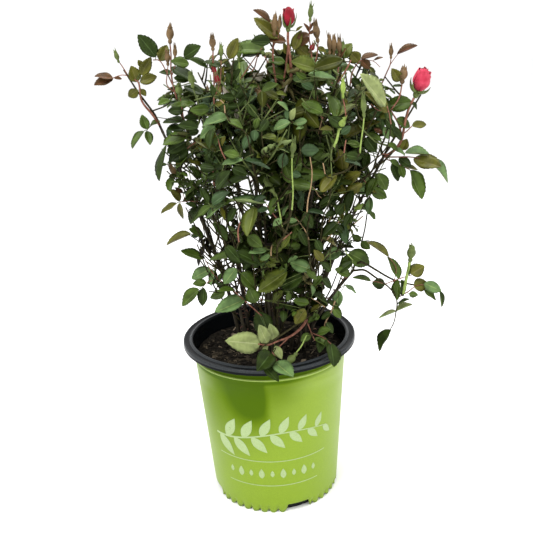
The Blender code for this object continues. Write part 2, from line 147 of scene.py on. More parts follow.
def fan(ring: int, sides: int, middle: int, outward: bool) -> np.ndarray:
    """The triangles from a closed ring of points to its middle point.

    Args:
        ring: Number of the ring's first point.
        sides: How many points the ring has.
        middle: Number of the middle point.
        outward: Whether the fan looks along the ring's axis.

    Returns:
        One triangle for each side.
    """
    here = ring + np.arange(sides)
    there = ring + (np.arange(sides) + 1) % sides
    ends = (here, there) if outward else (there, here)
    return np.stack((*ends, np.full(sides, middle), np.full(sides, -1)), axis=1)


def tube(path: np.ndarray, radii: np.ndarray, sides: int) -> tuple[np.ndarray, np.ndarray]:
    """A closed tube along a path.

    Args:
        path: Points of the middle line, one a row.
        radii: The tube's radius at each point, or at each point and side.
        sides: How many sides it has.

    Returns:
        Its points and faces.
    """
    along = np.gradient(path, axis=0)
    along /= np.linalg.norm(along, axis=1, keepdims=True) + TINY
    upright = abs(along[0][2]) > 0.9
    across = np.cross(along[0], (0.3, 0.9, 0.1) if upright else (0, 0, 1))
    angles = np.arange(sides) * math.tau / sides
    cosines, sines = np.cos(angles)[:, None], np.sin(angles)[:, None]
    radii = np.broadcast_to(radii.reshape(len(path), -1), (len(path), sides))
    rings = []
    for point, way, radius in zip(path, along, radii):
        across = across - way * across.dot(way)
        across /= np.linalg.norm(across) + TINY
        rings.append(point + radius[:, None] * (cosines * across + sines * np.cross(way, across)))
    points = np.concatenate((*rings, path[:1], path[-1:]))
    bands = [band(ring * sides, (ring + 1) * sides, sides) for ring in range(len(path) - 1)]
    last = (len(path) - 1) * sides
    caps = [fan(0, sides, len(points) - 2, False), fan(last, sides, len(points) - 1, True)]
    return points, np.concatenate((*bands, *caps))


def turned(profile: Sequence[tuple[float, float]], sides: int) -> tuple[np.ndarray, np.ndarray]:
    """A profile turned about Z, whose first and last points lie on the axis.

    Args:
        profile: (radius, height) pairs from the axis round to the axis.
        sides: How many sides the turned body has.

    Returns:
        Its points, ring by ring with one point for each end, and its faces.
    """
    angles = np.arange(sides) * math.tau / sides
    circle = np.stack((np.cos(angles), np.sin(angles), np.zeros(sides)), axis=1)
    rings = [circle * radius + (0, 0, height) for radius, height in profile[1:-1]]
    ends = np.array([(0, 0, profile[0][1]), (0, 0, profile[-1][1])])
    points = np.concatenate((*rings, ends))
    bands = [band((ring + 1) * sides, ring * sides, sides) for ring in range(len(rings) - 1)]
    first = fan(0, sides, len(points) - 2, True)
    last = fan((len(rings) - 1) * sides, sides, len(points) - 1, False)
    return points, np.concatenate((first, *bands, last))


def flowing(points: Sequence[Vector], step: float) -> Path:
    """Points along the smooth curve through some points.

    Args:
        points: The points that the curve passes through.
        step: About how far apart the new points lie.

    Returns:
        The new points, the first and last of the old ones among them.
    """
    padded = [points[0] * 2 - points[1], *points, points[-1] * 2 - points[-2]]
    path: Path = []
    for before, start, end, after in zip(padded, padded[1:], padded[2:], padded[3:]):
        pieces = max(1, round((end - start).length / step))
        for piece in range(pieces):
            t = piece / pieces
            path.append(0.5 * (2 * start + (end - before) * t
                               + (2 * before - 5 * start + 4 * end - after) * t * t
                               + (3 * start - before - 3 * end + after) * t ** 3))
    path.append(points[-1].copy())
    return path


def bearing(azimuth: float, lift: float) -> Vector:
    """The unit vector at an azimuth and a lift above level, both in radians."""
    level = math.cos(lift)
    return Vector((math.cos(azimuth) * level, math.sin(azimuth) * level, math.sin(lift)))


def blend(first: float, second: float, share: float) -> float:
    """The number at a share of the way from one number to another."""
    return first + (second - first) * share


# ---------------------------------------------------------------- finishes
class Shader:
    """A Principled material under construction, with short ways to add what it needs."""

    def __init__(self, name: str) -> None:
        """Start a new material, with its Principled shader.

        Args:
            name: The material's name.
        """
        self.material = bpy.data.materials.new(name)
        self.material.use_nodes = True
        self.tree = self.material.node_tree
        self.base = self.tree.nodes["Principled BSDF"]

    def set(self, **values: float | tuple) -> None:
        """Set sockets of the shader by their names, with _ for a space."""
        for key, value in values.items():
            self.base.inputs[key.replace("_", " ")].default_value = value

    def node(self, kind: str, **values: object) -> bpy.types.Node:
        """Add a node and set its sockets and properties.

        Args:
            kind: The node's type, without its ShaderNode prefix.
            **values: Sockets, with _ for a space, or properties of the node.

        Returns:
            The new node.
        """
        node = self.tree.nodes.new("ShaderNode" + kind)
        for key, value in values.items():
            socket = node.inputs.get(key.replace("_", " "))
            if socket is None:
                setattr(node, key, value)
            else:
                socket.default_value = value
        return node

    def link(self, output: bpy.types.NodeSocket, target: bpy.types.NodeSocket) -> None:
        """Join an output to an input."""
        self.tree.links.new(output, target)

    def grain(self, scale: float, detail: float = 3.0, stretch: tuple = (1, 1, 1)) -> bpy.types.NodeSocket:
        """Noise in the object's own coordinates.

        Args:
            scale: How fine the noise is, in waves a metre.
            detail: How many finer layers it has.
            stretch: How much finer it is along each axis.

        Returns:
            The noise's factor.
        """
        place = self.node("TexCoord")
        mapping = self.node("Mapping", Scale=stretch)
        self.link(place.outputs["Object"], mapping.inputs["Vector"])
        cloud = self.node("TexNoise", Scale=scale, Detail=detail)
        self.link(mapping.outputs["Vector"], cloud.inputs["Vector"])
        return cloud.outputs["Fac"]

    def tint(self, factor: bpy.types.NodeSocket, low: Colour, high: Colour,
             span: tuple[float, float] = (0.35, 0.65)) -> None:
        """Colour the surface between two colours by a factor.

        Args:
            factor: What the colour follows.
            low: The colour at the span's start and below it.
            high: The colour at the span's end and above it.
            span: The factor's range in which the one colour turns into the other.
        """
        ramp = self.node("ValToRGB")
        for stop, position, colour in zip(ramp.color_ramp.elements, span, (low, high)):
            stop.position = position
            stop.color = (*colour, 1)
        self.link(factor, ramp.inputs["Fac"])
        self.link(ramp.outputs["Color"], self.base.inputs["Base Color"])

    def relief(self, factor: bpy.types.NodeSocket, depth: float, strength: float = 1.0) -> None:
        """Raise the surface by a factor.

        Args:
            factor: What the height follows.
            depth: How far the surface is raised at most, in metres.
            strength: How much of that shows.
        """
        bump = self.node("Bump", Strength=strength, Distance=depth)
        self.link(factor, bump.inputs["Height"])
        self.link(bump.outputs["Normal"], self.base.inputs["Normal"])

    def span(self, value: bpy.types.NodeSocket, before: tuple[float, float],
             after: tuple[float, float]) -> bpy.types.NodeSocket:
        """Carry a value from one range over to another, smoothly and no further.

        Args:
            value: The value.
            before: The range that it is in.
            after: The range that it is carried to.

        Returns:
            The new value.
        """
        span = self.node("MapRange", interpolation_type="SMOOTHSTEP", From_Min=before[0],
                         From_Max=before[1], To_Min=after[0], To_Max=after[1])
        self.link(value, span.inputs["Value"])
        return span.outputs["Result"]

    def combine(self, operation: str, first: bpy.types.NodeSocket,
                second: bpy.types.NodeSocket) -> bpy.types.NodeSocket:
        """Join two values by an operation.

        Args:
            operation: The Math node's name of the operation.
            first: One value.
            second: The other value.

        Returns:
            The outcome, kept between 0 and 1.
        """
        both = self.node("Math", operation=operation, use_clamp=True)
        self.link(first, both.inputs[0])
        self.link(second, both.inputs[1])
        return both.outputs["Value"]

    def roughen(self, factor: bpy.types.NodeSocket, low: float, high: float) -> None:
        """Let the roughness follow a factor.

        Args:
            factor: What it follows.
            low: The roughness where the factor is 0.
            high: The roughness where the factor is 1.
        """
        span = self.node("MapRange", To_Min=low, To_Max=high)
        self.link(factor, span.inputs["Value"])
        self.link(span.outputs["Result"], self.base.inputs["Roughness"])


@dataclass(frozen=True)
class Finish:
    """A surface: its two colours, how rough it is, its grain in waves a metre, and its gloss."""

    name: str
    colour: Colour
    second: Colour
    roughness: float = 0.5
    grain: float = 200.0
    depth: float = 0.05 * MM
    stretch: tuple = (1, 1, 1)
    gloss: float = 0.14

    def material(self) -> bpy.types.Material:
        """The finish's material, made once."""
        known = bpy.data.materials.get(self.name)
        return known or self.make()

    def make(self) -> bpy.types.Material:
        """Make the material: mottled colour, and a relief of the same grain.

        Returns:
            The new material.
        """
        shader = Shader(self.name)
        grain = shader.grain(self.grain, stretch=self.stretch)
        shader.tint(grain, self.colour, self.second)
        shader.relief(grain, self.depth)
        shader.set(Roughness=self.roughness, Specular_IOR_Level=self.gloss)
        self.finish_off(shader)
        return shader.material

    def finish_off(self, shader: Shader) -> None:
        """What a special finish adds."""


@dataclass(frozen=True)
class PetalFinish(Finish):
    """A petal: velvety, with a soft glow at its edges."""

    def finish_off(self, shader: Shader) -> None:
        """A velvet sheen."""
        shader.set(Sheen_Weight=0.1, Sheen_Roughness=0.5)


@dataclass(frozen=True)
class PlasticFinish(Finish):
    """Moulded plastic: even colour, fine grain and scuffs that dull it here and there."""

    gloss: float = 0.3
    scuff_grain: float = 18
    polished: float = 0.08
    dulled: float = 0.14

    def finish_off(self, shader: Shader) -> None:
        """Scuffs that change the roughness."""
        scuffs = shader.grain(self.scuff_grain, detail=8)
        shader.roughen(scuffs, self.roughness - self.polished, self.roughness + self.dulled)


@dataclass(frozen=True)
class Shade:
    """A soft patch of painted shade, in millimetres: its middle, its size, its strength, and the X where it
    ends.
    """

    middle: tuple[float, float, float]
    size: float
    strength: float
    edge: float = 1000.0
    blur: float = 5.0


@dataclass(frozen=True)
class PaintedShadeFinish(PlasticFinish):
    """A plastic finish with painted shade: darker under the flange, a thin painted shadow below the bead,
    and soft patches of painted shade and darker painted reflection, where the gloss falls too.

    The pairs of heights are in metres: where the painted shade begins below the flange, where it begins
    below the bead, and where it ends at the bead's foot.
    """

    # The colour of the painted shade, and its soft patches of painted shade and darker painted reflection.
    shade_colour: Colour = (0.058, 0.110, 0.003)
    shades: tuple[Shade, ...] = (
        Shade((-24, -97, 202), 70, 0.76, -11), Shade((-20, -98, 162), 50, 0.50, -5, 6),
        Shade((14, -98, 196), 48, 0.42), Shade((-66, -76, 190), 120, 0.58),
        Shade((-30, -94, 150), 84, 0.20), Shade((-84, -50, 100), 90, 0.22))
    flange: tuple[float, float] = (0.2026, 0.2038)
    flange_dark: float = 0.85
    below_bead: tuple[float, float] = (0.193, 0.1985)
    bead_foot: tuple[float, float] = (0.1990, 0.1996)
    bead_dark: float = 0.5
    dullest: float = 0.8
    shade_gloss: float = 0.02

    def finish_off(self, shader: Shader) -> None:
        """Mix the painted shade colour in, band by band and patch by patch.

        Args:
            shader: The material under construction.
        """
        super().finish_off(shader)
        place = shader.node("TexCoord").outputs["Object"]
        parts = shader.node("SeparateXYZ")
        shader.link(place, parts.inputs["Vector"])
        across, height = parts.outputs["X"], parts.outputs["Z"]
        # Painted shade under the flange, and a thin painted shadow below the bead.
        dark = shader.span(height, self.flange, (0.0, self.flange_dark))
        under = shader.combine("MULTIPLY", shader.span(height, self.below_bead, (0.0, self.bead_dark)),
                               shader.span(height, self.bead_foot, (1.0, 0.0)))
        dark = shader.combine("ADD", dark, under)
        for shade in self.shades:
            apart = shader.node("VectorMath", operation="DISTANCE")
            shader.link(place, apart.inputs[0])
            apart.inputs[1].default_value = millimetres(*shade.middle)
            soft = shader.span(apart.outputs["Value"], (0.0, shade.size * MM), (shade.strength, 0.0))
            edge = (shade.edge - shade.blur) * MM, (shade.edge + shade.blur) * MM
            kept = shader.combine("MULTIPLY", soft, shader.span(across, edge, (1.0, 0.0)))
            dark = shader.combine("ADD", dark, kept)
        # Less gloss where the painted shade is deepest, as no reflection shows there.
        gloss = shader.span(dark, (0.0, self.dullest), (self.gloss, self.shade_gloss))
        shader.link(gloss, shader.base.inputs["Specular IOR Level"])
        self.paint_shade(shader, dark)

    def paint_shade(self, shader: Shader, dark: bpy.types.NodeSocket) -> None:
        """Mix the painted shade colour into the plain one.

        Args:
            shader: The material under construction.
            dark: The share of the painted shade colour.
        """
        mix = shader.node("Mix", data_type="RGBA")
        colour = shader.base.inputs["Base Color"]
        factor, plain, shade_colour = (mix.inputs[number] for number in (0, 6, 7))
        shader.link(dark, factor)
        shader.link(colour.links[0].from_socket, plain)
        shade_colour.default_value = (*self.shade_colour, 1)
        shader.link(mix.outputs[2], colour)


class Tint(Enum):
    """The colours that leaves are dealt, one for each spray."""

    DEEP = 0
    MID = 1
    FRESH = 2
    OLIVE = 3
    BRONZE = 4
    PALE = 5
    WITHERED = 6
    FADED = 7
    WARM = 8
    COOL = 9
    DUSK = 10
    SHADE = 11


def leaf_finish(name: str, colour: Colour, roughness: float = 0.42, gloss: float = 0.16) -> Finish:
    """A leaf's finish, mottled a little about its colour.

    Args:
        name: The material's name.
        colour: The colour that it varies about.
        roughness: How rough it is.
        gloss: How much it shines.

    Returns:
        The finish.
    """
    lighter = tuple(min(1.0, part * 1.35) for part in colour)
    darker = tuple(part * 0.72 for part in colour)
    return Finish(name, darker, lighter, roughness, 90.0, 0.15 * MM, gloss=gloss)


class Side(Enum):
    """The sides of a leaflet, by the number of their finish within the leaf's own three."""

    UPPER = 0
    UNDER = 1
    RIB = 2


@dataclass(frozen=True)
class LeafSkins:
    """The finishes of leaves of one colour: upper side, under side and rib."""

    upper: Finish
    under: Finish
    rib: Finish

    def in_order(self) -> tuple[Finish, Finish, Finish]:
        """The finishes in the order of their numbers in Side."""
        return self.upper, self.under, self.rib


BACK_ROUGHNESS = 0.6
UNDER_GREEN = leaf_finish("under_green", (0.060, 0.090, 0.020), BACK_ROUGHNESS)
UNDER_PALE = leaf_finish("under_pale", (0.150, 0.195, 0.070), BACK_ROUGHNESS)
UNDER_WARM = leaf_finish("under_warm", (0.100, 0.108, 0.036), BACK_ROUGHNESS)
WITHERED = leaf_finish("leaf_withered", (0.010, 0.008, 0.005))
FADED = leaf_finish("petal_faded", (0.250, 0.225, 0.175))
LEAF_SKINS = {
    Tint.DEEP: LeafSkins(
        leaf_finish("leaf_deep_green", (0.0205, 0.0350, 0.0060), gloss=0.09),
        UNDER_GREEN,
        leaf_finish("rib_green", (0.045, 0.075, 0.018))),
    Tint.MID: LeafSkins(
        leaf_finish("leaf_mid_green", (0.048, 0.080, 0.010)),
        UNDER_GREEN,
        leaf_finish("rib_mid", (0.090, 0.130, 0.032))),
    Tint.FRESH: LeafSkins(
        leaf_finish("leaf_fresh_green", (0.095, 0.160, 0.052)),
        UNDER_PALE,
        leaf_finish("rib_fresh", (0.180, 0.240, 0.080))),
    Tint.OLIVE: LeafSkins(
        leaf_finish("leaf_olive", (0.080, 0.080, 0.009)),
        leaf_finish("under_olive", (0.110, 0.098, 0.035), BACK_ROUGHNESS),
        leaf_finish("rib_olive", (0.125, 0.112, 0.032))),
    Tint.BRONZE: LeafSkins(
        leaf_finish("leaf_bronze", (0.062, 0.030, 0.009)),
        leaf_finish("under_bronze", (0.110, 0.045, 0.022), BACK_ROUGHNESS),
        leaf_finish("rib_red", (0.130, 0.045, 0.022))),
    Tint.PALE: LeafSkins(
        leaf_finish("leaf_pale_green", (0.190, 0.225, 0.082)),
        UNDER_PALE,
        leaf_finish("rib_cream", (0.260, 0.290, 0.130))),
    Tint.WITHERED: LeafSkins(WITHERED, WITHERED, WITHERED),
    Tint.FADED: LeafSkins(FADED, FADED, FADED),
    Tint.WARM: LeafSkins(
        leaf_finish("leaf_warm_green", (0.074, 0.094, 0.012)),
        UNDER_WARM,
        leaf_finish("rib_warm", (0.135, 0.150, 0.045))),
    Tint.COOL: LeafSkins(
        leaf_finish("leaf_cool_green", (0.037, 0.069, 0.024)),
        leaf_finish("under_cool", (0.060, 0.095, 0.048), BACK_ROUGHNESS),
        leaf_finish("rib_cool", (0.075, 0.120, 0.056))),
    Tint.DUSK: LeafSkins(
        leaf_finish("leaf_dark_warm", (0.028, 0.033, 0.0020), gloss=0.08),
        UNDER_WARM,
        leaf_finish("rib_dusk", (0.070, 0.072, 0.018))),
    # Painted shade for leaves deep inside the crown.
    Tint.SHADE: LeafSkins(
        leaf_finish("leaf_shade", (0.0090, 0.0140, 0.0015), gloss=0.03),
        leaf_finish("under_shade", (0.022, 0.032, 0.005), BACK_ROUGHNESS, 0.03),
        leaf_finish("rib_shade", (0.018, 0.027, 0.007), gloss=0.06)),
}
LEAF_FINISHES = tuple(finish for tint in Tint for finish in LEAF_SKINS[tint].in_order())

BARK = Finish("cane_bark", (0.013, 0.011, 0.007), (0.056, 0.046, 0.030), 0.75, 260, 0.25 * MM, (1, 1, 0.2))
GREEN_STEM = Finish("stem_green", (0.060, 0.080, 0.022), (0.110, 0.140, 0.042), 0.5, 300, 0.05 * MM)
RED_STEM = Finish("stem_red", (0.135, 0.052, 0.034), (0.265, 0.118, 0.078), 0.5, 300, 0.05 * MM)
PRICKLE = Finish("prickle", (0.080, 0.040, 0.028), (0.140, 0.075, 0.050), 0.6, 300, 0.05 * MM)
DARK_STEM = Finish("stem_dark", (0.012, 0.011, 0.004), (0.044, 0.038, 0.015), 0.6, 300, 0.05 * MM,
                   gloss=0.07)
TAN_STEM = Finish("stem_dry", (0.230, 0.150, 0.080), (0.330, 0.220, 0.120), 0.7, 300, 0.08 * MM)
LIME_STEM = Finish("stem_lime", (0.190, 0.270, 0.060), (0.280, 0.370, 0.100), 0.5, 300, 0.04 * MM)


class Wood(Enum):
    """The finishes of twigs, by age and light."""

    GREEN = 0
    RED = 1
    DARK = 2
    DRY = 3
    LIME = 4


TWIG_FINISHES = (GREEN_STEM, RED_STEM, DARK_STEM, TAN_STEM, LIME_STEM)

PETAL = PetalFinish("petal_crimson", (0.165, 0.003, 0.010), (0.280, 0.007, 0.022), 0.5, 120, 0.1 * MM)
PETAL_EDGE = PetalFinish("petal_rose", (0.385, 0.018, 0.044), (0.530, 0.048, 0.090), 0.5, 120, 0.1 * MM)
SEPAL = leaf_finish("sepal_green", (0.090, 0.120, 0.032))
SEPAL_BRONZE = leaf_finish("sepal_bronze", (0.130, 0.082, 0.038))
SEPAL_LIME = leaf_finish("sepal_lime", (0.200, 0.280, 0.055))
BLOSSOM_FINISHES = (PETAL, PETAL_EDGE, SEPAL, SEPAL_BRONZE, SEPAL_LIME)


class Skin(Enum):
    """The finishes of buds and blooms, by their numbers in BLOSSOM_FINISHES."""

    PETAL = 0
    PETAL_EDGE = 1
    SEPAL = 2
    SEPAL_BRONZE = 3
    SEPAL_LIME = 4


# The pot's green, with painted shade under the rim, below the bead and in soft patches.
POT_GREEN = PaintedShadeFinish("pot_green", (0.180, 0.275, 0.007), (0.210, 0.314, 0.011), 0.36, 900, 0.02 * MM)
# The bead's paler green is a painted highlight.
POT_BEAD_HIGHLIGHT = PlasticFinish("pot_bead_highlight", (0.240, 0.340, 0.060), (0.280, 0.385, 0.085), 0.36, 900, 0.02 * MM)
POT_BLACK = PlasticFinish("pot_black", (0.003, 0.004, 0.005), (0.006, 0.007, 0.008), 0.22, 900, 0.02 * MM,
                          gloss=0.05)
# The lip bands' lighter grey is a painted highlight.
POT_LIP_HIGHLIGHT = PlasticFinish("pot_lip_highlight", (0.018, 0.021, 0.024), (0.034, 0.038, 0.040), 0.24, 900, 0.02 * MM,
                        gloss=0.12)
INK = PlasticFinish("print_ink", (0.290, 0.385, 0.165), (0.345, 0.440, 0.210), 0.45, 600, 0.01 * MM)
PEAT = Finish("peat", (0.004, 0.0034, 0.0026), (0.017, 0.014, 0.010), 1.0, 420, 0.9 * MM, gloss=0.05)
CHIP_DARK = Finish("bark_chip_dark", (0.006, 0.005, 0.004), (0.019, 0.016, 0.012), 1.0, 500, 0.3 * MM,
                   gloss=0.05)
CHIP_WARM = Finish("bark_chip_warm", (0.022, 0.018, 0.012), (0.052, 0.042, 0.028), 1.0, 500, 0.3 * MM,
                   gloss=0.05)
CHIP_PALE = Finish("bark_chip_pale", (0.120, 0.095, 0.065), (0.200, 0.160, 0.110), 1.0, 500, 0.3 * MM,
                   gloss=0.05)
FLOOR = Finish("studio_floor", (0.93, 0.93, 0.93), (0.95, 0.95, 0.95), 0.8, 3, 0.01 * MM)


# ---------------------------------------------------------------- pot and soil
class PotSkin(Enum):
    """The pot's finishes, by number."""

    GREEN = 0
    BLACK = 1
    BEAD = 2
    LIP = 3


@dataclass
class Pot:
    """The moulded nursery pot: green outside, black inside and on its rolled rim.

    The wall's rings are heights in millimetres, down to where the scallops begin. The bands of the
    lip, painted a lighter grey as a painted highlight, are numbered from the rim's start inside the mouth.
    """

    height: float = 222 * MM
    rim_radius: float = 114.5 * MM
    mouth_radius: float = 103 * MM
    rim_drop: float = 7.5 * MM
    top_radius: float = 102.1 * MM
    base_radius: float = 86.2 * MM
    wall: float = 2.0 * MM
    floor: float = 2.5 * MM
    skirt: float = 11 * MM
    foot_radius: float = 79 * MM
    bead_height: float = 201.5 * MM
    bead: float = 1.3 * MM
    bead_half: float = 0.9
    bead_rings: int = 5
    wall_rings: tuple[float, ...] = (170, 140, 110, 80, 50, 30, 18, 13.5, 11.5)
    edge_ring: float = 5 * MM
    scallops: int = 44
    scallop_depth: float = 4.4 * MM
    scallop_round: float = 0.85
    dent: float = 5.0
    drains: int = 4
    first_drain: float = math.radians(-71)
    drain_width: float = 33 * MM
    drain_height: float = 9.5 * MM
    drain_corner: float = 2.5 * MM
    lip_bands: tuple[tuple[int, int], ...] = ((3, 6), (9, 12))
    sides: int = 396

    def wall_radius(self, height: float) -> float:
        """The outer radius of the plain wall at a height."""
        return blend(self.base_radius, self.top_radius, height / (self.height - self.rim_drop))

    def rim(self) -> list[tuple[float, float]]:
        """The rolled rim's profile, from inside the mouth over to under the flange.

        Returns:
            (radius, height) pairs.
        """
        top, mouth, edge = self.height, self.mouth_radius, self.rim_radius
        shape = (
            (mouth - 1.9 * MM, -4.0), (mouth - 1.5 * MM, -1.9), (mouth - 0.8 * MM, -0.6),
            (mouth + 0.2 * MM, 0.0), (mouth + 1.3 * MM, -0.1), (mouth + 2.3 * MM, -0.8),
            (mouth + 3.4 * MM, -1.5), (mouth + 6.0 * MM, -1.6), (edge - 3.4 * MM, -1.2),
            (edge - 2.0 * MM, -0.6), (edge - 0.8 * MM, -0.9), (edge - 0.2 * MM, -1.8),
            (edge - 0.3 * MM, -4.2), (edge, -6.2), (edge, -7.1), (edge - 0.5 * MM, -7.5),
            (edge - 1.3 * MM, -7.3), (edge - 1.6 * MM, -6.0), (edge - 1.8 * MM, -3.2),
            (mouth + 1.2 * MM, -3.2), (mouth - 0.3 * MM, -5.0),
        )
        return [(radius, top + drop * MM) for radius, drop in shape]

    def outside(self) -> list[tuple[float, float]]:
        """The wall's outer profile, from under the rim down to the bottom edge.

        Returns:
            (radius, height) pairs.
        """
        under = self.height - self.rim_drop
        bead, half = self.bead_height, self.bead_half
        wall = self.wall_radius(bead)
        points = [(self.wall_radius(under), under), (wall, bead + half * self.bead)]
        for turn in range(1, self.bead_rings + 1):
            angle = math.pi * turn / (self.bead_rings + 1)
            points.append((wall + math.sin(angle) * self.bead, bead + math.cos(angle) * half * self.bead))
        points.append((wall, bead - half * self.bead))
        for height in self.wall_rings:
            points.append((self.wall_radius(height * MM), height * MM))
        return points

    def edge_lift(self, angle: float) -> float:
        """How far the bottom edge is lifted, by a scallop or a drain.

        Args:
            angle: Where round the pot, in radians.

        Returns:
            The lift, in metres.
        """
        wave = abs(math.sin(angle * self.scallops / 2))
        lift = self.scallop_depth * (1 - wave ** self.scallop_round)
        for drain in range(self.drains):
            middle = self.first_drain + drain * math.tau / self.drains
            off = abs((angle - middle + math.pi) % math.tau - math.pi) * self.base_radius
            if off < self.drain_width / 2:
                corner = min(1.0, (self.drain_width / 2 - off) / self.drain_corner)
                lift = max(lift, self.drain_height * math.sqrt(corner * (2 - corner)))
        return lift

    def inside(self) -> list[tuple[float, float]]:
        """The inner profile, from the floor's middle up the wall.

        Returns:
            (radius, height) pairs.
        """
        corner = self.skirt + self.floor
        points = [(0, self.floor), (self.foot_radius - 2 * MM, self.floor), (self.foot_radius + MM, corner)]
        for height in (corner, 80 * MM, 190 * MM):
            points.append((self.wall_radius(height) - self.wall, height))
        return points

    def underside(self) -> list[tuple[float, float]]:
        """The profile of the hollow foot, from inside the bottom edge to the axis.

        Returns:
            (radius, height) pairs.
        """
        foot = self.foot_radius
        return [(self.base_radius - self.wall + 0.6 * MM, self.skirt), (foot + 3 * MM, self.skirt),
                (foot + 0.6 * MM, MM), (foot, 0), (0, 0)]

    def build(self) -> bpy.types.Object:
        """Turn the pot, shape its bottom edge and deal out its finishes.

        Returns:
            The piece that replaces the pot's node.
        """
        inside, rim, outside, underside = self.inside(), self.rim(), self.outside(), self.underside()
        inner = self.base_radius - self.wall
        edge = [(self.base_radius + 0.4 * MM, self.edge_ring), (self.base_radius, 0), (inner, 0),
                (inner, self.edge_ring)]
        profile = inside + rim + outside + edge + underside
        points, faces = turned(profile, self.sides)
        black_bands = len(inside) + len(rim) - 1
        angles = np.arange(self.sides) * math.tau / self.sides
        lifts = np.array([self.edge_lift(angle) for angle in angles])
        for ring, (_, height) in enumerate(edge, black_bands + len(outside)):
            rows = slice(ring * self.sides, (ring + 1) * self.sides)
            points[rows, 2] = height + lifts * (1 - height / (self.wall_rings[-1] * MM))
            points[rows, :2] *= (1 - self.dent * np.minimum(lifts, self.scallop_depth))[:, None]
        slots = np.full(len(faces), PotSkin.GREEN.value, np.int32)
        # The bead gets a paler green as a painted highlight.
        bead = black_bands + 2
        marks = [(0, black_bands, PotSkin.BLACK), (bead, bead + self.bead_rings, PotSkin.BEAD),
                 (len(profile) - len(underside) - 2, len(profile), PotSkin.BLACK)]
        # The lip bands get a lighter grey as a painted highlight.
        marks += [(len(inside) + first, len(inside) + last, PotSkin.LIP) for first, last in self.lip_bands]
        for first, last, skin in marks:
            slots[first * self.sides:last * self.sides] = skin.value
        pool = Pool()
        pool.add(points, faces, slots)
        piece = pool.build("nursery_pot", (POT_GREEN, POT_BLACK, POT_BEAD_HIGHLIGHT, POT_LIP_HIGHLIGHT))
        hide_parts("pot")
        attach(piece, "root")
        return piece


@dataclass
class PotPrint:
    """A pale print on the pot: a leafy sprig over two thin rules with a row of drops between them.

    Its sizes are in millimetres, along the wall and up it.
    """

    pot: Pot
    facing: float = math.radians(-93)
    reach: float = 80.0
    branch_height: float = 118.0
    branch_wave: float = 7.0
    leaves: int = 13
    lean: float = math.radians(56)
    rules: tuple[tuple[float, float], ...] = ((44, 62), (82, 76))
    rule_width: float = 1.1
    drops: int = 9
    drop_gap: float = 14.0
    drop_height: float = 63.0
    drop_lengths: tuple[float, float] = (10, 15)
    stand_off: float = 0.12 * MM
    thickness: float = 0.12 * MM
    pool: Pool = field(default_factory=Pool)

    def lay(self, outline: Sequence[tuple[float, float]]) -> None:
        """Lay a flat shape on the wall.

        Args:
            outline: (along, up) in millimetres round the shape's edge, in strips of two: the points
                of the left edge and the right edge by turns, from one end to the other.
        """
        rows = []
        for along, up in outline:
            height = up * MM
            radius = self.pot.wall_radius(height) + self.stand_off
            angle = self.facing + along * MM / radius
            rows.append((angle, radius, height))
        skins = []
        for lift in (0.0, self.thickness):
            skins.append([(math.cos(a) * (r + lift), math.sin(a) * (r + lift), h) for a, r, h in rows])
        points = np.array(skins[0] + skins[1])
        size = len(rows)
        faces = []
        for step in range(0, size - 3, 2):
            a, b, c, d = step, step + 1, step + 3, step + 2
            faces.append((a + size, b + size, c + size, d + size))
            faces.append((d, c, b, a))
            faces.append((a, a + size, d + size, d))
            faces.append((c, c + size, b + size, b))
        faces.append((1, 1 + size, size, 0))
        faces.append((size - 2, 2 * size - 2, 2 * size - 1, size - 1))
        self.pool.add(points, np.array(faces), 0)

    def stroke(self, points: Sequence[tuple[float, float]], widths: Sequence[float]) -> None:
        """Lay a stroke of changing width, all in millimetres.

        Args:
            points: (along, up) of its middle line.
            widths: Its width at each point.
        """
        line = np.array(points, float)
        along = np.gradient(line, axis=0)
        along /= np.linalg.norm(along, axis=1, keepdims=True)
        side = np.stack((-along[:, 1], along[:, 0]), axis=1)
        outline = []
        for point, across, width in zip(line, side, widths):
            outline.append(tuple(point + across * width / 2))
            outline.append(tuple(point - across * width / 2))
        self.lay(outline)

    def leaf(self, x: float, y: float, angle: float, length: float, width: float) -> None:
        """Lay a simple leaf shape.

        Args:
            x: How far along the wall it starts, in millimetres.
            y: How far up it starts.
            angle: Which way it points, in radians from level.
            length: Its length.
            width: Its greatest width.
        """
        steps = [step / 10 for step in range(11)]
        points = [(x + math.cos(angle) * length * t, y + math.sin(angle) * length * t) for t in steps]
        widths = [width * math.sin(math.pi * t ** 0.8) + 0.15 for t in steps]
        self.stroke(points, widths)

    def build(self) -> bpy.types.Object:
        """Draw the branch, the rules and the row of drops.

        Returns:
            The piece.
        """
        reach, steps = self.reach, 2 * self.leaves
        stem = [(blend(-reach, reach, step / steps),
                 self.branch_height - self.branch_wave * math.cos(step / steps * math.tau * 0.75))
                for step in range(steps + 1)]
        self.stroke(stem, [2.8 - 1.8 * step / steps for step in range(steps + 1)])
        for index in range(self.leaves):
            x, y = stem[2 * index + 1]
            side = 1 if index % 2 else -1
            size = 35 - 16 * index / self.leaves
            self.leaf(x, y, side * self.lean + 0.12, size, size * 0.42)
        for height, half in self.rules:
            self.stroke([(blend(-half, half, t / 40), height) for t in range(41)], [self.rule_width] * 41)
        for index in range(self.drops):
            tall = self.drop_lengths[index % 2]
            along = (index - (self.drops - 1) / 2) * self.drop_gap
            self.leaf(along, self.drop_height - tall / 2, math.radians(90), tall, tall * 0.5)
        piece = self.pool.build("pot_print", (INK,), smooth=False)
        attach(piece, "root")
        return piece


class SoilSkin(Enum):
    """The soil's finishes, by number."""

    PEAT = 0
    DARK = 1
    WARM = 2
    PALE = 3


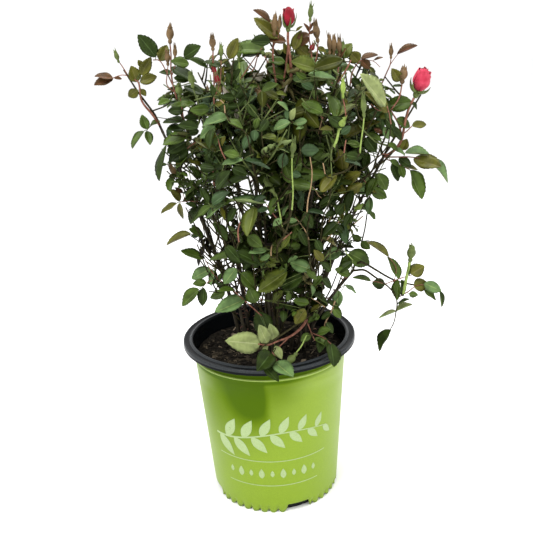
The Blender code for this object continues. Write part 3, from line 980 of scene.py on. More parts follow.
@dataclass
class Soil:
    """The plug of bark mix, with a rough top of chips and fibres, whose sizes are in millimetres.

    Lumps and crumbs are waves of the top: how many there are in a metre, and how high they are.
    """

    pot: Pot
    top: float = 202 * MM
    edge: float = 198 * MM
    bottom: float = 13.8 * MM
    rings: int = 44
    sides: int = 120
    chips: int = 760
    lumps: tuple[float, float] = (45, 2.2)
    crumbs: tuple[float, float] = (160, 1.1)
    sunk: float = 1.2
    fibre_share: float = 0.3
    pale_fibre_share: float = 0.42
    fibre_length: tuple[float, float] = (9, 22)
    fibre_width: tuple[float, float] = (0.5, 1.0)
    chip_length: tuple[float, float] = (4, 13)
    chip_height: tuple[float, float] = (1.0, 2.6)
    chip_edge: float = 7 * MM
    seed: int = 5

    def surface(self, x: float, y: float) -> float:
        """The height of the soil's rough top.

        Args:
            x: The place's X.
            y: The place's Y.

        Returns:
            The height, in metres.
        """
        out = math.hypot(x, y) / self.pot.top_radius
        ground = blend(self.top, self.edge, min(1.0, out ** 4))
        (lumps, lump_height), (crumbs, crumb_height) = self.lumps, self.crumbs
        rough = noise(Vector((x, y, 0)) * lumps) * lump_height
        rough += noise(Vector((x, y, 3)) * crumbs) * crumb_height
        return ground + (rough - self.sunk) * MM

    def reach(self, height: float) -> float:
        """The radius of the plug at a height."""
        return self.pot.wall_radius(height) - self.pot.wall - 0.3 * MM

    def build(self) -> bpy.types.Object:
        """Build the plug with its rough top, and lay the chips on it.

        Returns:
            The piece that replaces the soil's node.
        """
        rim = self.reach(self.edge - MM)
        profile = [(0.0, self.top)]
        profile += [(rim * ring / self.rings, self.top) for ring in range(1, self.rings + 1)]
        profile += [(self.reach(120 * MM), 120 * MM), (self.reach(self.bottom) - MM, self.bottom)]
        profile.append((0.0, self.bottom))
        points, faces = turned(profile, self.sides)
        top_rows = self.rings * self.sides
        for row in list(range(top_rows)) + [len(points) - 2]:
            points[row, 2] = self.surface(points[row, 0], points[row, 1])
        pool = Pool()
        pool.add(points, faces, SoilSkin.PEAT.value)
        rng = random.Random(self.seed)
        for _ in range(self.chips):
            self.add_chip(pool, rng)
        piece = pool.build("potting_soil", (PEAT, CHIP_DARK, CHIP_WARM, CHIP_PALE), smooth=False)
        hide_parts("soil")
        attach(piece, "root")
        return piece

    def add_chip(self, pool: Pool, rng: random.Random) -> None:
        """Lay one chip or fibre on the soil.

        Args:
            pool: Where its faces go.
            rng: The source of its place, size and finish.
        """
        angle = rng.uniform(0, math.tau)
        out = math.sqrt(rng.random()) * (self.reach(self.edge) - self.chip_edge)
        x, y = math.cos(angle) * out, math.sin(angle) * out
        fibre = rng.random() < self.fibre_share
        length = rng.uniform(*(self.fibre_length if fibre else self.chip_length))
        width = rng.uniform(*self.fibre_width) if fibre else length * rng.uniform(0.3, 0.7)
        height = width if fibre else rng.uniform(*self.chip_height)
        box = np.array([(i, j, k) for k in (-1, 1) for i, j in ((-1, -1), (1, -1), (1, 1), (-1, 1))], float)
        box *= np.array((length, width, height)) * MM / 2
        box *= np.array([[rng.uniform(0.6, 1.0) for _ in range(3)] for _ in range(8)])
        turn = Matrix.Rotation(rng.uniform(0, math.tau), 3, "Z") @ Matrix.Rotation(rng.gauss(0, 0.22), 3, "X")
        turn = turn @ Matrix.Rotation(rng.gauss(0, 0.16), 3, "Y")
        points = box @ np.array(turn).T + (x, y, self.surface(x, y) + height * 0.25 * MM)
        faces = np.array(((3, 2, 1, 0), (4, 5, 6, 7), (0, 1, 5, 4), (1, 2, 6, 5), (2, 3, 7, 6), (3, 0, 4, 7)))
        if fibre and rng.random() < self.pale_fibre_share:
            skin = SoilSkin.PALE
        else:
            skin = rng.choices((SoilSkin.DARK, SoilSkin.WARM, SoilSkin.PALE), (68, 29, 3))[0]
        pool.add(points, faces, skin.value)


# ---------------------------------------------------------------- limbs
@dataclass
class Limb:
    """The trunk or a cane, read from its solid: its middle line and its radii."""

    name: str
    path: Path
    radii: list[float]

    @classmethod
    def of_node(cls, name: str, sides: int = 6) -> "Limb":
        """Read a limb from its node, whose rings of points lie one above the other.

        Args:
            name: The node's name.
            sides: How many points each ring has.

        Returns:
            The limb.
        """
        points = {tuple(round(part, 6) for part in vert.co) for vert in frame["nodes"][name].data.vertices}
        ordered = sorted((Vector(point) for point in points), key=lambda point: point.z)
        rings = [ordered[start:start + sides] for start in range(0, len(ordered), sides)]
        path = [sum(ring, Vector()) / len(ring) for ring in rings]
        radii = [sum((point - middle).length for point in ring) / len(ring)
                 for ring, middle in zip(rings, path)]
        return cls(name, path, radii)

    def at(self, share: float) -> Vector:
        """The middle line's point at a share of its height.

        Args:
            share: 0 at the limb's foot and 1 at its tip.

        Returns:
            The point.
        """
        height = blend(self.path[0].z, self.path[-1].z, share)
        for low, high in zip(self.path, self.path[1:]):
            if height <= high.z:
                return low.lerp(high, (height - low.z) / max(high.z - low.z, 1e-9))
        return self.path[-1].copy()

    def radius_at(self, height: float) -> float:
        """The radius at a height above the ground."""
        heights = [point.z for point in self.path]
        return float(np.interp(height, heights, self.radii))

    def tip_way(self) -> Vector:
        """Which way the limb's tip points."""
        return (self.path[-1] - self.path[-2]).normalized()


@dataclass
class Limbs:
    """The trunk and the canes, with their ridged bark, swollen nodes and prickles."""

    limbs: list[Limb]
    sides: int = 12
    step: float = 3.2 * MM
    ridge: float = 0.09
    ridges_round: float = 2.2
    ridges_up: float = 45
    finer: float = 3.1
    swelling: float = 0.16
    node_gap: float = 26 * MM
    prickles: int = 9
    prickle_length: tuple[float, float] = (3.2, 5.2)
    prickle_radii: tuple[float, ...] = (1.25, 0.75, 0.4, 0.08)
    seed: int = 21
    slimmer: ClassVar[float] = 0.74

    def dress(self, limb: Limb, pool: Pool, rng: random.Random) -> None:
        """Add one limb's wood, ridged and swollen at its nodes, and its prickles.

        Args:
            limb: The limb.
            pool: Where its faces go.
            rng: The source of its small differences.
        """
        path = flowing(limb.path, self.step)
        radii = np.zeros((len(path), self.sides))
        phase = rng.uniform(0, 40)
        next_node = rng.uniform(10, 26) * MM
        travelled = 0.0
        swell = [0.0] * len(path)
        for index in range(1, len(path)):
            travelled += (path[index] - path[index - 1]).length
            if travelled > next_node:
                swell[index] = self.swelling
                next_node += self.node_gap * rng.uniform(0.7, 1.3)
        for index, point in enumerate(path):
            base = limb.radius_at(point.z) * self.slimmer
            for side in range(self.sides):
                angle = side * math.tau / self.sides
                spot = Vector((math.cos(angle) * self.ridges_round, math.sin(angle) * self.ridges_round,
                               point.z * self.ridges_up + phase))
                bark = noise(spot) * self.ridge + noise(spot * self.finer) * self.ridge * 0.5
                radii[index, side] = base * (1.0 + bark + swell[index])
        pool.add(*tube(np.array(path), radii, self.sides), 0)
        for _ in range(self.prickles):
            self.add_prickle(limb, pool, rng)

    def add_prickle(self, limb: Limb, pool: Pool, rng: random.Random) -> None:
        """Add one down-curved prickle to a limb.

        Args:
            limb: The limb.
            pool: Where its faces go.
            rng: The source of its place and size.
        """
        height = blend(limb.path[0].z, limb.path[-1].z, rng.uniform(0.12, 0.98))
        share = (height - limb.path[0].z) / (limb.path[-1].z - limb.path[0].z)
        way = bearing(rng.uniform(0, math.tau), 0.0)
        root = limb.at(share) + way * limb.radius_at(height) * 0.6
        size = rng.uniform(*self.prickle_length) * MM
        path = np.array([root, root + way * size * 0.5, root + way * size * 0.85 - UP * size * 0.12,
                         root + way * size * 1.1 - UP * size * 0.4])
        radii = np.array(self.prickle_radii) * MM * size / (4.5 * MM)
        pool.add(*tube(path, radii, 6), 1)

    def build(self) -> bpy.types.Object:
        """Build the wood of every limb as one piece.

        Returns:
            The piece that replaces the limbs' nodes.
        """
        pool = Pool()
        for index, limb in enumerate(self.limbs):
            self.dress(limb, pool, random.Random(self.seed + index))
        piece = pool.build("trunk_and_canes", (BARK, PRICKLE))
        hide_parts(*(limb.name for limb in self.limbs))
        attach(piece, "root")
        return piece


# ---------------------------------------------------------------- leaves
@dataclass
class LeafletShape:
    """A toothed leaflet as a grid: an upper skin with a rib, and an under skin below it."""

    rows: int = 13
    columns: tuple = (-1.0, -0.52, -0.055, 0.055, 0.52, 1.0)
    tooth: float = 0.03
    quilt: float = 0.03
    base_curve: float = 0.7
    tip_curve: float = 0.96
    waves: float = 9.0
    rib_depth: float = 0.10
    straight: float = 1e-3
    thickness: float = 0.35 * MM

    def __post_init__(self) -> None:
        """Work out what all leaflets of this shape share."""
        width = len(self.columns)
        along = (np.arange(self.rows) + 0.6) / (self.rows + 0.25)
        tooth = np.where(np.arange(self.rows) % 2 == 1, 1.0, -1.0)
        fade = np.clip(np.minimum(along * 5, (1 - along) * 6), 0, 1)
        self.along = along
        plain = along ** self.base_curve * (1 - along) ** self.tip_curve
        self.outline = plain / plain.max() * (1 + tooth * self.tooth * fade)
        self.forward = np.where(tooth > 0, 0.35, -0.15) / self.rows * fade
        self.quilts = tooth * self.quilt * fade
        faces, slots = [], []
        stride = width + 1
        for row in range(self.rows - 1):
            low, high = row * stride, (row + 1) * stride
            for column in range(width - 1):
                faces.append((low + column, low + column + 1, high + column + 1, high + column))
                slots.append(self.side_of(column))
            faces.append((low, high, high + width, low + width))
            faces.append((low + width, high + width, high + width - 1, low + width - 1))
            slots += [Side.UNDER.value] * 2
        base, tip = self.rows * stride, self.rows * stride + 1
        last = (self.rows - 1) * stride
        for column in range(width - 1):
            faces.append((base, column + 1, column, -1))
            faces.append((tip, last + column, last + column + 1, -1))
            slots += [self.side_of(column)] * 2
        faces += [(base, 0, width, -1), (base, width, width - 1, -1),
                  (tip, last + width, last, -1), (tip, last + width - 1, last + width, -1)]
        slots += [Side.UNDER.value] * 4
        self.faces = np.array(faces)
        self.slots = np.array(slots, np.int32)

    def side_of(self, column: int) -> int:
        """The number of the finish of a column of faces: the middle one is the rib."""
        return (Side.RIB if column == (len(self.columns) - 2) // 2 else Side.UPPER).value

    def points(self, length: float, width: float, fold: float, bend: float, twist: float,
               ripple: float) -> np.ndarray:
        """The points of one leaflet, along +Y from its base, its upper side towards +Z.

        Args:
            length: From base to tip.
            width: Across at the widest.
            fold: How far the halves rise about the rib, in radians.
            bend: How far the leaflet curls down along its length, in radians.
            twist: How far the tip is turned about the leaflet's line, in radians.
            ripple: The wave of the edge, as a share of the half width.

        Returns:
            One point a row.
        """
        across = np.array(self.columns)
        edge, rib = np.abs(across) > 0.9, np.abs(across) < 0.3
        half = self.outline * width / 2
        along = self.along[:, None] + self.forward[:, None] * edge
        flat = half[:, None] * across * math.cos(fold)
        rise = half[:, None] * np.abs(across) * math.sin(fold)
        rise = rise + half[:, None] * self.quilts[:, None] * ~(edge | rib)
        rise = rise + half[:, None] * ripple * np.sin(self.along * self.waves)[:, None] * across ** 2
        rise = rise - half[:, None] * self.rib_depth * rib
        low = -half * self.rib_depth - self.thickness * 1.6
        under = np.stack((np.zeros(self.rows), self.along, low), axis=1)
        flat = np.concatenate((flat, under[:, :1]), axis=1)
        along = np.concatenate((along, under[:, 1:2]), axis=1)
        rise = np.concatenate((rise, under[:, 2:]), axis=1)
        turn = twist * along
        flat, rise = flat * np.cos(turn) - rise * np.sin(turn), flat * np.sin(turn) + rise * np.cos(turn)
        angle = bend * along
        safe = bend if abs(bend) > self.straight else self.straight
        y = np.sin(angle) / safe * length + rise * np.sin(angle)
        z = -(1 - np.cos(angle)) / safe * length + rise * np.cos(angle)
        grid = np.stack((flat, y, z), axis=2).reshape(-1, 3)
        end = np.array((0.0, math.sin(bend) / safe * length, -(1 - math.cos(bend)) / safe * length))
        return np.concatenate((grid, [(0.0, 0.0, 0.0)], [end]))


PLAIN = LeafletShape(rows=9, columns=(-1.0, -0.06, 0.06, 1.0))
FINE = LeafletShape(rows=17, tooth=0.016)


def axes(along: Vector, facing: Vector) -> np.ndarray:
    """A turn that takes +Y along a direction and +Z as near as can be to a facing.

    Args:
        along: The direction.
        facing: The facing.

    Returns:
        The turned axes, one a row.
    """
    y = along.normalized()
    x = y.cross(facing)
    x = x.normalized() if x.length > 1e-6 else y.orthogonal().normalized()
    return np.array((x, y, x.cross(y)))


@dataclass
class Foliage:
    """The pools that one region's leaves, twigs and blossom are gathered in."""

    name: str
    leaves: Pool = field(default_factory=Pool)
    twigs: Pool = field(default_factory=Pool)
    blossom: Pool = field(default_factory=Pool)
    leaflets: int = 0
    paired_stalk: ClassVar[float] = 0.62
    lone_stalk: ClassVar[float] = 0.3
    stalk_radii: ClassVar[tuple[float, float]] = (0.75 * MM, 0.45 * MM)

    def add_leaflet(self, base: Vector, along: Vector, facing: Vector, length: float, tint: Tint,
                    rng: random.Random, width: float = 0.64, limp: float = 0.7,
                    shape: LeafletShape = PLAIN) -> None:
        """Add one leaflet.

        Args:
            base: Where it starts.
            along: Which way it points.
            facing: Which way its upper side looks.
            length: Its length.
            tint: Its colour.
            rng: The source of its small differences.
            width: Its width as a share of its length.
            limp: How far it may curl down, in radians.
            shape: The grid that it is made on.
        """
        points = shape.points(length, length * width * rng.uniform(0.9, 1.08), rng.uniform(0.12, 0.6),
                              rng.uniform(-0.1, 1.2) * limp, rng.gauss(0, 0.25), rng.uniform(-0.12, 0.12))
        points = points @ axes(along, facing) + np.array(base)
        self.leaves.add(points, shape.faces, shape.slots + tint.value * len(Side))
        self.leaflets += 1

    def add_twig(self, path: Sequence[Vector], start: float, end: float, wood: Wood,
                 sides: int = 6) -> None:
        """Add a tapering twig along some points, from one radius to another."""
        radii = np.linspace(start, end, len(path))
        self.twigs.add(*tube(np.array([tuple(point) for point in path]), radii, sides), wood.value)

    def add_leaf(self, base: Vector, way: Vector, facing: Vector, length: float, pairs: int, tint: Tint,
                 wood: Wood, rng: random.Random) -> None:
        """Add a compound leaf: a stalk with pairs of leaflets and one at its end.

        Args:
            base: Where the stalk starts.
            way: Which way the stalk sets out.
            facing: Which way the leaf's upper side looks.
            length: From the stalk's foot to the tip of the last leaflet.
            pairs: How many pairs of leaflets it has.
            tint: The leaflets' colour.
            wood: The stalk's finish.
            rng: The source of its small differences.
        """
        way = way.normalized()
        droop = UP * rng.uniform(-0.35, 0.05)
        stalk = length * (self.paired_stalk if pairs else self.lone_stalk)
        path = [base, base + way * stalk * 0.5, base + (way + droop * 0.5).normalized() * stalk]
        path = flowing(path, stalk / 4)
        self.add_twig(path, *self.stalk_radii, wood, 4)
        along = (path[-1] - path[-2]).normalized()
        side = along.cross(facing).normalized()
        upper = side.cross(along)
        self.add_leaflet(path[-1], along + upper * rng.uniform(-0.15, 0.1), upper, length - stalk, tint, rng)
        for pair in range(pairs):
            share = 1 - (pair + 0.75) * self.paired_stalk / (pairs + 0.35)
            at = self.along_path(path, share)
            size = (length - stalk) * (0.86 - 0.12 * pair)
            for hand in (-1, 1):
                out = side * hand + along * rng.uniform(0.35, 0.75) + upper * rng.uniform(-0.15, 0.25)
                tilt = upper - side * hand * rng.uniform(-0.1, 0.4)
                self.add_leaflet(at, out, tilt, size * rng.uniform(0.88, 1.08), tint, rng)

    @staticmethod
    def along_path(path: Sequence[Vector], share: float) -> Vector:
        """The point at a share of the way along some evenly spaced points.

        Args:
            path: The points.
            share: 0 at the first of them and 1 at the last.

        Returns:
            The point.
        """
        spot = share * (len(path) - 1)
        index = min(int(spot), len(path) - 2)
        return path[index].lerp(path[index + 1], spot - index)

    def build(self, nodes: Iterable[str]) -> list[bpy.types.Object]:
        """Build the region's pieces, which replace its nodes.

        Args:
            nodes: The nodes of the masses that the region stands for.

        Returns:
            The pieces that have any faces.
        """
        pieces = []
        for kind, pool, finishes in (("leaves", self.leaves, LEAF_FINISHES),
                                     ("twigs", self.twigs, TWIG_FINISHES),
                                     ("blossom", self.blossom, BLOSSOM_FINISHES)):
            if not pool.count:
                continue
            piece = pool.build(f"{kind}_{self.name}", finishes)
            if kind == "leaves":
                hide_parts(*nodes)
            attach(piece, "root")
            LOG.info("%s: %d triangles", piece.name, pool.triangles())
            pieces.append(piece)
        return pieces


# ---------------------------------------------------------------- blossom
def standing(way: Vector) -> np.ndarray:
    """A turn that takes +Z along a direction."""
    x, y, z = axes(way, way.orthogonal())
    return np.array((x, -z, y))


@dataclass
class Bud:
    """A closed bud: a small hip, a waist, and a ribbed body under five slender sepal tips."""

    size: float = 20 * MM
    girth: float = 4.2 * MM
    skin: Skin = Skin.SEPAL_BRONZE
    red: bool = False
    sides: int = 20
    sepals: int = 5
    rib: float = 0.07
    shape: ClassVar[tuple] = (
        (0.0, 0.0), (0.28, 0.01), (0.48, 0.06), (0.56, 0.13), (0.5, 0.2), (0.4, 0.25), (0.6, 0.31),
        (0.87, 0.42), (1.0, 0.54), (0.93, 0.69), (0.68, 0.85), (0.4, 0.96), (0.18, 1.04), (0.0, 1.08))

    def add_to(self, pool: Pool, foot: Vector, way: Vector, rng: random.Random) -> None:
        """Add the bud to a pool.

        Args:
            pool: Where its faces go.
            foot: The foot of its hip.
            way: Which way it points.
            rng: The source of its small differences.
        """
        turn = standing(way)
        points, faces = turned([(r * self.girth, h * self.size) for r, h in self.shape[::-1]], self.sides)
        ribs = np.cos(self.sepals * np.arctan2(points[:, 1], points[:, 0]))
        upper = np.clip((points[:, 2] / self.size - 0.28) * 4, 0, 1)
        points[:, :2] *= (1 + self.rib * ribs * upper)[:, None]
        slots = np.full(len(faces), self.skin.value, np.int32)
        if self.red:
            bare = (ribs * upper)[faces[:, :3]].mean(axis=1) < 0.35
            high = points[faces[:, :3]].mean(axis=1)[:, 2] > self.size * 0.42
            slots[bare & high] = Skin.PETAL.value
        pool.add(points @ turn + np.array(foot), faces, slots)
        for index in range(self.sepals):
            self.add_tip(pool, foot, turn, index * math.tau / self.sepals, rng)

    def add_tip(self, pool: Pool, foot: Vector, turn: np.ndarray, angle: float, rng: random.Random) -> None:
        """Add one sepal's tip, which runs on from a rib of the body.

        Args:
            pool: Where its faces go.
            foot: The bud's foot.
            turn: The bud's axes.
            angle: Where round the bud it starts.
            rng: The source of its small differences.
        """
        rise = rng.uniform(0.14, 0.42)
        flick = rng.uniform(-0.15, 0.55) + (1.0 if rng.random() < 0.12 else 0.0)
        line = []
        for share in (0.0, 0.35, 0.7, 1.0):
            out = blend(0.52, 0.1 + flick, share) * self.girth
            line.append((math.cos(angle) * out, math.sin(angle) * out, self.size * (0.88 + rise * share)))
        radii = np.array((0.3, 0.2, 0.13, 0.04)) * self.girth
        points, faces = tube(np.array(line), radii, 4)
        pool.add(points @ turn + np.array(foot), faces, self.skin.value)


@dataclass
class Bloom:
    """A half open bloom over its hip and sepals: petals wrapped about a high closed middle."""

    height: float = 33 * MM
    girth: float = 12.5 * MM
    deep: bool = False
    petals: int = 15
    sepals: int = 5
    grid: int = 11
    hip: float = 0.24
    hip_sides: int = 14
    hip_shape: ClassVar[tuple] = (
        (0.0, 0.0), (0.2, 0.01), (0.36, 0.3), (0.4, 0.6), (0.3, 0.9), (0.34, 1.1), (0.1, 1.2), (0.0, 1.2))
    petal_thickness: ClassVar[float] = 0.35 * MM
    widest: ClassVar[float] = 0.48

    def add_to(self, pool: Pool, foot: Vector, way: Vector, rng: random.Random) -> None:
        """Add the bloom to a pool.

        Args:
            pool: Where its faces go.
            foot: The foot of its hip.
            way: Which way its mouth points.
            rng: The source of its small differences.
        """
        turn = standing(way)
        cup = foot + way * self.height * self.hip
        for index in range(self.petals):
            self.add_petal(pool, cup, turn, index * GOLDEN_ANGLE + 0.4, (index + 1) / self.petals, rng)
        profile = [(r * self.girth, h * self.height * self.hip) for r, h in self.hip_shape]
        points, faces = turned(profile[::-1], self.hip_sides)
        pool.add(points @ turn + np.array(foot), faces, Skin.SEPAL.value)
        for index in range(self.sepals):
            angle = index * math.tau / self.sepals + rng.uniform(-0.2, 0.2)
            self.add_sepal(pool, cup, turn, angle, rng)

    def add_sepal(self, pool: Pool, cup: Vector, turn: np.ndarray, angle: float, rng: random.Random) -> None:
        """Add one long sepal, which leaves the cup's foot and curves up beside the petals.

        Args:
            pool: Where its faces go.
            cup: The foot of the cup of petals.
            turn: The bloom's axes.
            angle: Where round the bloom it starts.
            rng: The source of its small differences.
        """
        out, rise = rng.uniform(1.05, 1.4) * self.girth, rng.uniform(0.1, 0.75) * self.height
        line = np.array([(blend(0.3 * self.girth, out, math.sin(share * 1.4)), 0.0, rise * share ** 2 - MM)
                         for share in (0.0, 0.2, 0.4, 0.6, 0.8, 1.0)])
        radii = np.array((0.16, 0.2, 0.17, 0.12, 0.07, 0.02)) * self.girth
        points, faces = tube(line, radii, 6)
        points[:, 1] *= 1.5
        swing = np.array(Matrix.Rotation(angle, 3, "Z")).T
        pool.add(points @ swing @ turn + np.array(cup), faces, Skin.SEPAL.value)

    def add_petal(self, pool: Pool, cup: Vector, turn: np.ndarray, angle: float, share: float,
                  rng: random.Random) -> None:
        """Add one petal, which wraps part of the way round the middle.

        Args:
            pool: Where its faces go.
            cup: The foot of the cup of petals.
            turn: The bloom's axes.
            angle: Where round the bloom the petal's middle is.
            share: 0 for the innermost petal and 1 for the outermost.
            rng: The source of its small differences.
        """
        size = self.grid
        span = blend(1.5, 1.02, share)
        radius = self.girth * blend(0.3, 0.98, share ** 0.7)
        tall = self.height * (1 - self.hip) * blend(1.0, 0.9, share) * rng.uniform(0.95, 1.02)
        close = blend(0.35, 0.72, share) + rng.uniform(-0.04, 0.1) * share
        roll = max(0.0, share - 0.6) * rng.uniform(0.2, 1.4)
        rows = []
        for i in range(size):
            v = i / (size - 1)
            body = blend(0.34, 1.0, math.sin(min(1.0, v / self.widest) * math.pi / 2))
            body = blend(body, close, max(0.0, (v - self.widest) / (1 - self.widest)) ** 1.7)
            lip = max(0.0, v - 0.8) / 0.2
            for j in range(size):
                u = 2 * j / (size - 1) - 1
                out = radius * body + lip ** 2 * roll * 3.2 * MM + u * 0.5 * MM
                out += math.sin(u * 5 + angle) * 0.35 * MM * v
                round_by = angle + u * span * blend(0.8, 1.0, math.sin(v * math.pi * 0.6))
                top = tall * v * (1 - 0.2 * abs(u) ** 2.5 * v) - lip ** 2 * roll * 2.5 * MM
                rows.append((math.cos(round_by) * out, math.sin(round_by) * out, top))
        outer = np.array(rows)
        inner = outer.copy()
        radii = np.maximum(np.hypot(outer[:, 0], outer[:, 1]), 2 * MM)
        inner[:, :2] *= (1 - self.petal_thickness / radii)[:, None]
        count = size * size
        faces = []
        for i in range(size - 1):
            for j in range(size - 1):
                a, d = i * size + j, (i + 1) * size + j
                b, c = a + 1, d + 1
                faces += [(a, b, c, d), (d + count, c + count, b + count, a + count)]
        rim = [*range(size), *range(2 * size - 1, count, size), *range(count - 2, count - size - 1, -1),
               *range(count - 2 * size, 0, -size)]
        for here, there in zip(rim, rim[1:] + rim[:1]):
            faces.append((there, here, here + count, there + count))
        points = np.concatenate((outer, inner)) @ turn + np.array(cup)
        bright = not self.deep and share > 0.35
        slots = np.full(len(faces), (Skin.PETAL_EDGE if bright else Skin.PETAL).value, np.int32)
        slots[1:2 * (size - 1) ** 2:2] = Skin.PETAL.value
        pool.add(points, np.array(faces), slots)


# ---------------------------------------------------------------- growth
@dataclass
class Mass:
    """One mass of foliage: its space is the power cell of its centre and size."""

    name: str
    centre: Vector
    size: float
    region: str
    shoots: int = 13


@dataclass(frozen=True)
class Tier:
    """A ring of masses at one height of the crown."""

    name: str
    height: float
    ring: float
    count: int
    turn: float
    size: float


TIERS = (
    Tier("upper", 530 * MM, 92 * MM, 5, math.radians(-54), 76 * MM),
    Tier("middle", 428 * MM, 82 * MM, 5, math.radians(-30), 72 * MM),
    Tier("lower", 328 * MM, 62 * MM, 5, math.radians(-78), 60 * MM),
)
CROWN_LEAN = 0.15
CROWN_LEAN_FROM = 330 * MM
LONE_MASSES = (
    Mass("summit", millimetres(34, 4, 566), 66 * MM, "lone", 11),
    Mass("left_sprig", millimetres(-140, -20, 546), 56 * MM, "lone", 0),
    Mass("right_shoulder", millimetres(177, -28, 500), 62 * MM, "lone", 8),
    Mass("right_arch", millimetres(166, -46, 300), 70 * MM, "lone", 0),
    Mass("rim_spray", millimetres(4, -92, 250), 60 * MM, "lone", 0),
    Mass("low_back", millimetres(10, 96, 262), 52 * MM, "lone", 6),
)

# The crown's height, and how far it reaches there to the left and to the right, in millimetres.
CROWN_REACH = (
    (228, -38, 76), (250, -54, 92), (275, -70, 102), (300, -82, 110), (330, -86, 116), (355, -90, 120),
    (380, -96, 127), (405, -103, 138), (430, -114, 152), (455, -127, 166), (480, -126, 170), (505, -124, 167),
    (530, -119, 160), (550, -104, 147), (565, -82, 134), (577, -54, 116), (587, -12, 100), (597, 8, 78),
)
CROWN_FRONT = 134 * MM
CROWN_BACK = 146 * MM
CROWN_ROUND = 132 * MM


def scatter(rng: random.Random, spread: float) -> Vector:
    """A random offset, spread alike along all three axes."""
    return Vector((rng.gauss(0, spread), rng.gauss(0, spread), rng.gauss(0, spread)))


def plan_masses() -> list[Mass]:
    """Set out the masses of the tiers, each in the region of its tier and side.

    Returns:
        Those masses, and the lone ones after them.
    """
    masses = []
    for tier in TIERS:
        axis = (tier.height - CROWN_LEAN_FROM) * CROWN_LEAN
        for index in range(tier.count):
            out = bearing(tier.turn + index * math.tau / tier.count, 0)
            centre = Vector((axis, 0, tier.height)) + out * tier.ring
            side = "left" if out.x < 0 else "right"
            masses.append(Mass(f"{tier.name}_{index + 1}", centre, tier.size, f"{tier.name}_{side}"))
    return masses + list(LONE_MASSES)


@dataclass
class Space:
    """The room that one mass may fill: its cell, and the crown's outline."""

    mass: Mass
    others: list[Mass]
    overlap: float = 26 * MM
    slack: float = 1.35
    fullness: ClassVar[float] = 0.98
    roundness: ClassVar[float] = 2.4
    heights: ClassVar[list[float]] = [row[0] * MM for row in CROWN_REACH]
    lefts: ClassVar[list[float]] = [row[1] * MM for row in CROWN_REACH]
    rights: ClassVar[list[float]] = [row[2] * MM for row in CROWN_REACH]

    def holds(self, point: Vector) -> bool:
        """Whether a point is in or near the mass's cell, and in the crown's outline.

        Args:
            point: The point.

        Returns:
            True where it is.
        """
        mass = self.mass
        if (point - mass.centre).length > mass.size * self.slack:
            return False
        own = (point - mass.centre).length_squared - mass.size ** 2
        for other in self.others:
            theirs = (point - other.centre).length_squared - other.size ** 2
            apart = (other.centre - mass.centre).length
            if own - theirs > 2 * apart * self.overlap:
                return False
        return self.in_crown(point)

    @classmethod
    def in_crown(cls, point: Vector) -> bool:
        """Whether a point is inside the crown's rounded, uneven outline.

        Args:
            point: The point.

        Returns:
            True where it is.
        """
        if point.z > cls.heights[-1]:
            return False
        left = float(np.interp(point.z, cls.heights, cls.lefts))
        right = float(np.interp(point.z, cls.heights, cls.rights))
        middle, half = (left + right) / 2, (right - left) / 2
        depth = (CROWN_BACK if point.y > 0 else CROWN_FRONT) * min(1.0, half / CROWN_ROUND)
        uneven = 0.5 * noise(point * 24)
        across = abs((point.x - middle) / half) ** cls.roundness
        return across + abs(point.y / depth) ** cls.roundness < cls.fullness + uneven

    @staticmethod
    def is_inner(point: Vector, cover: float = 34 * MM) -> bool:
        """Whether a point lies deep in the crown, in the shade of the leaves round it."""
        out = Vector((point.x - 15 * MM, point.y, 0)).normalized() * cover
        return Space.in_crown(point + out) and Space.in_crown(point + UP * cover)


@dataclass(frozen=True)
class Gap:
    """A place where light shows right through the crown: its column, row and radius in the view."""

    column: float
    row: float
    radius: float = 4.0


GAPS = tuple(Gap(*row) for row in (
    (201, 70, 7), (197, 82, 5), (206, 80, 4), (252, 63, 6), (264, 65, 3), (276, 48, 4), (224, 77, 3),
    (320, 45, 5), (326, 36, 5), (357, 70, 3), (293, 38, 2), (341, 76, 2), (246, 187, 5), (239, 213, 5),
    (244, 209, 4), (261, 234, 5), (318, 243, 4), (188, 110, 3), (182, 132, 2), (198, 128, 2), (205, 162, 3),
    (191, 173, 3), (208, 232, 6), (214, 243, 5), (226, 227, 2), (232, 262, 3), (330, 222, 4), (341, 204, 1),
    (376, 160, 2), (390, 116, 3), (249, 153, 2), (238, 153, 2), (286, 146, 1), (237, 178, 2), (254, 179, 2),
    (323, 87, 2), (353, 86, 2), (380, 123, 3), (319, 173, 2), (379, 147, 3), (253, 186, 2),
    (267, 200, 2), (286, 213, 2), (204, 222, 4), (242, 244, 2), (210, 254, 3), (278, 258, 2), (319, 267, 3),
    (331, 274, 4), (341, 262, 2), (323, 215, 3), (354, 187, 2), (338, 235, 2), (238, 286, 4),
    (230, 295, 2), (331, 292, 3), (307, 258, 1), (294, 247, 1)))


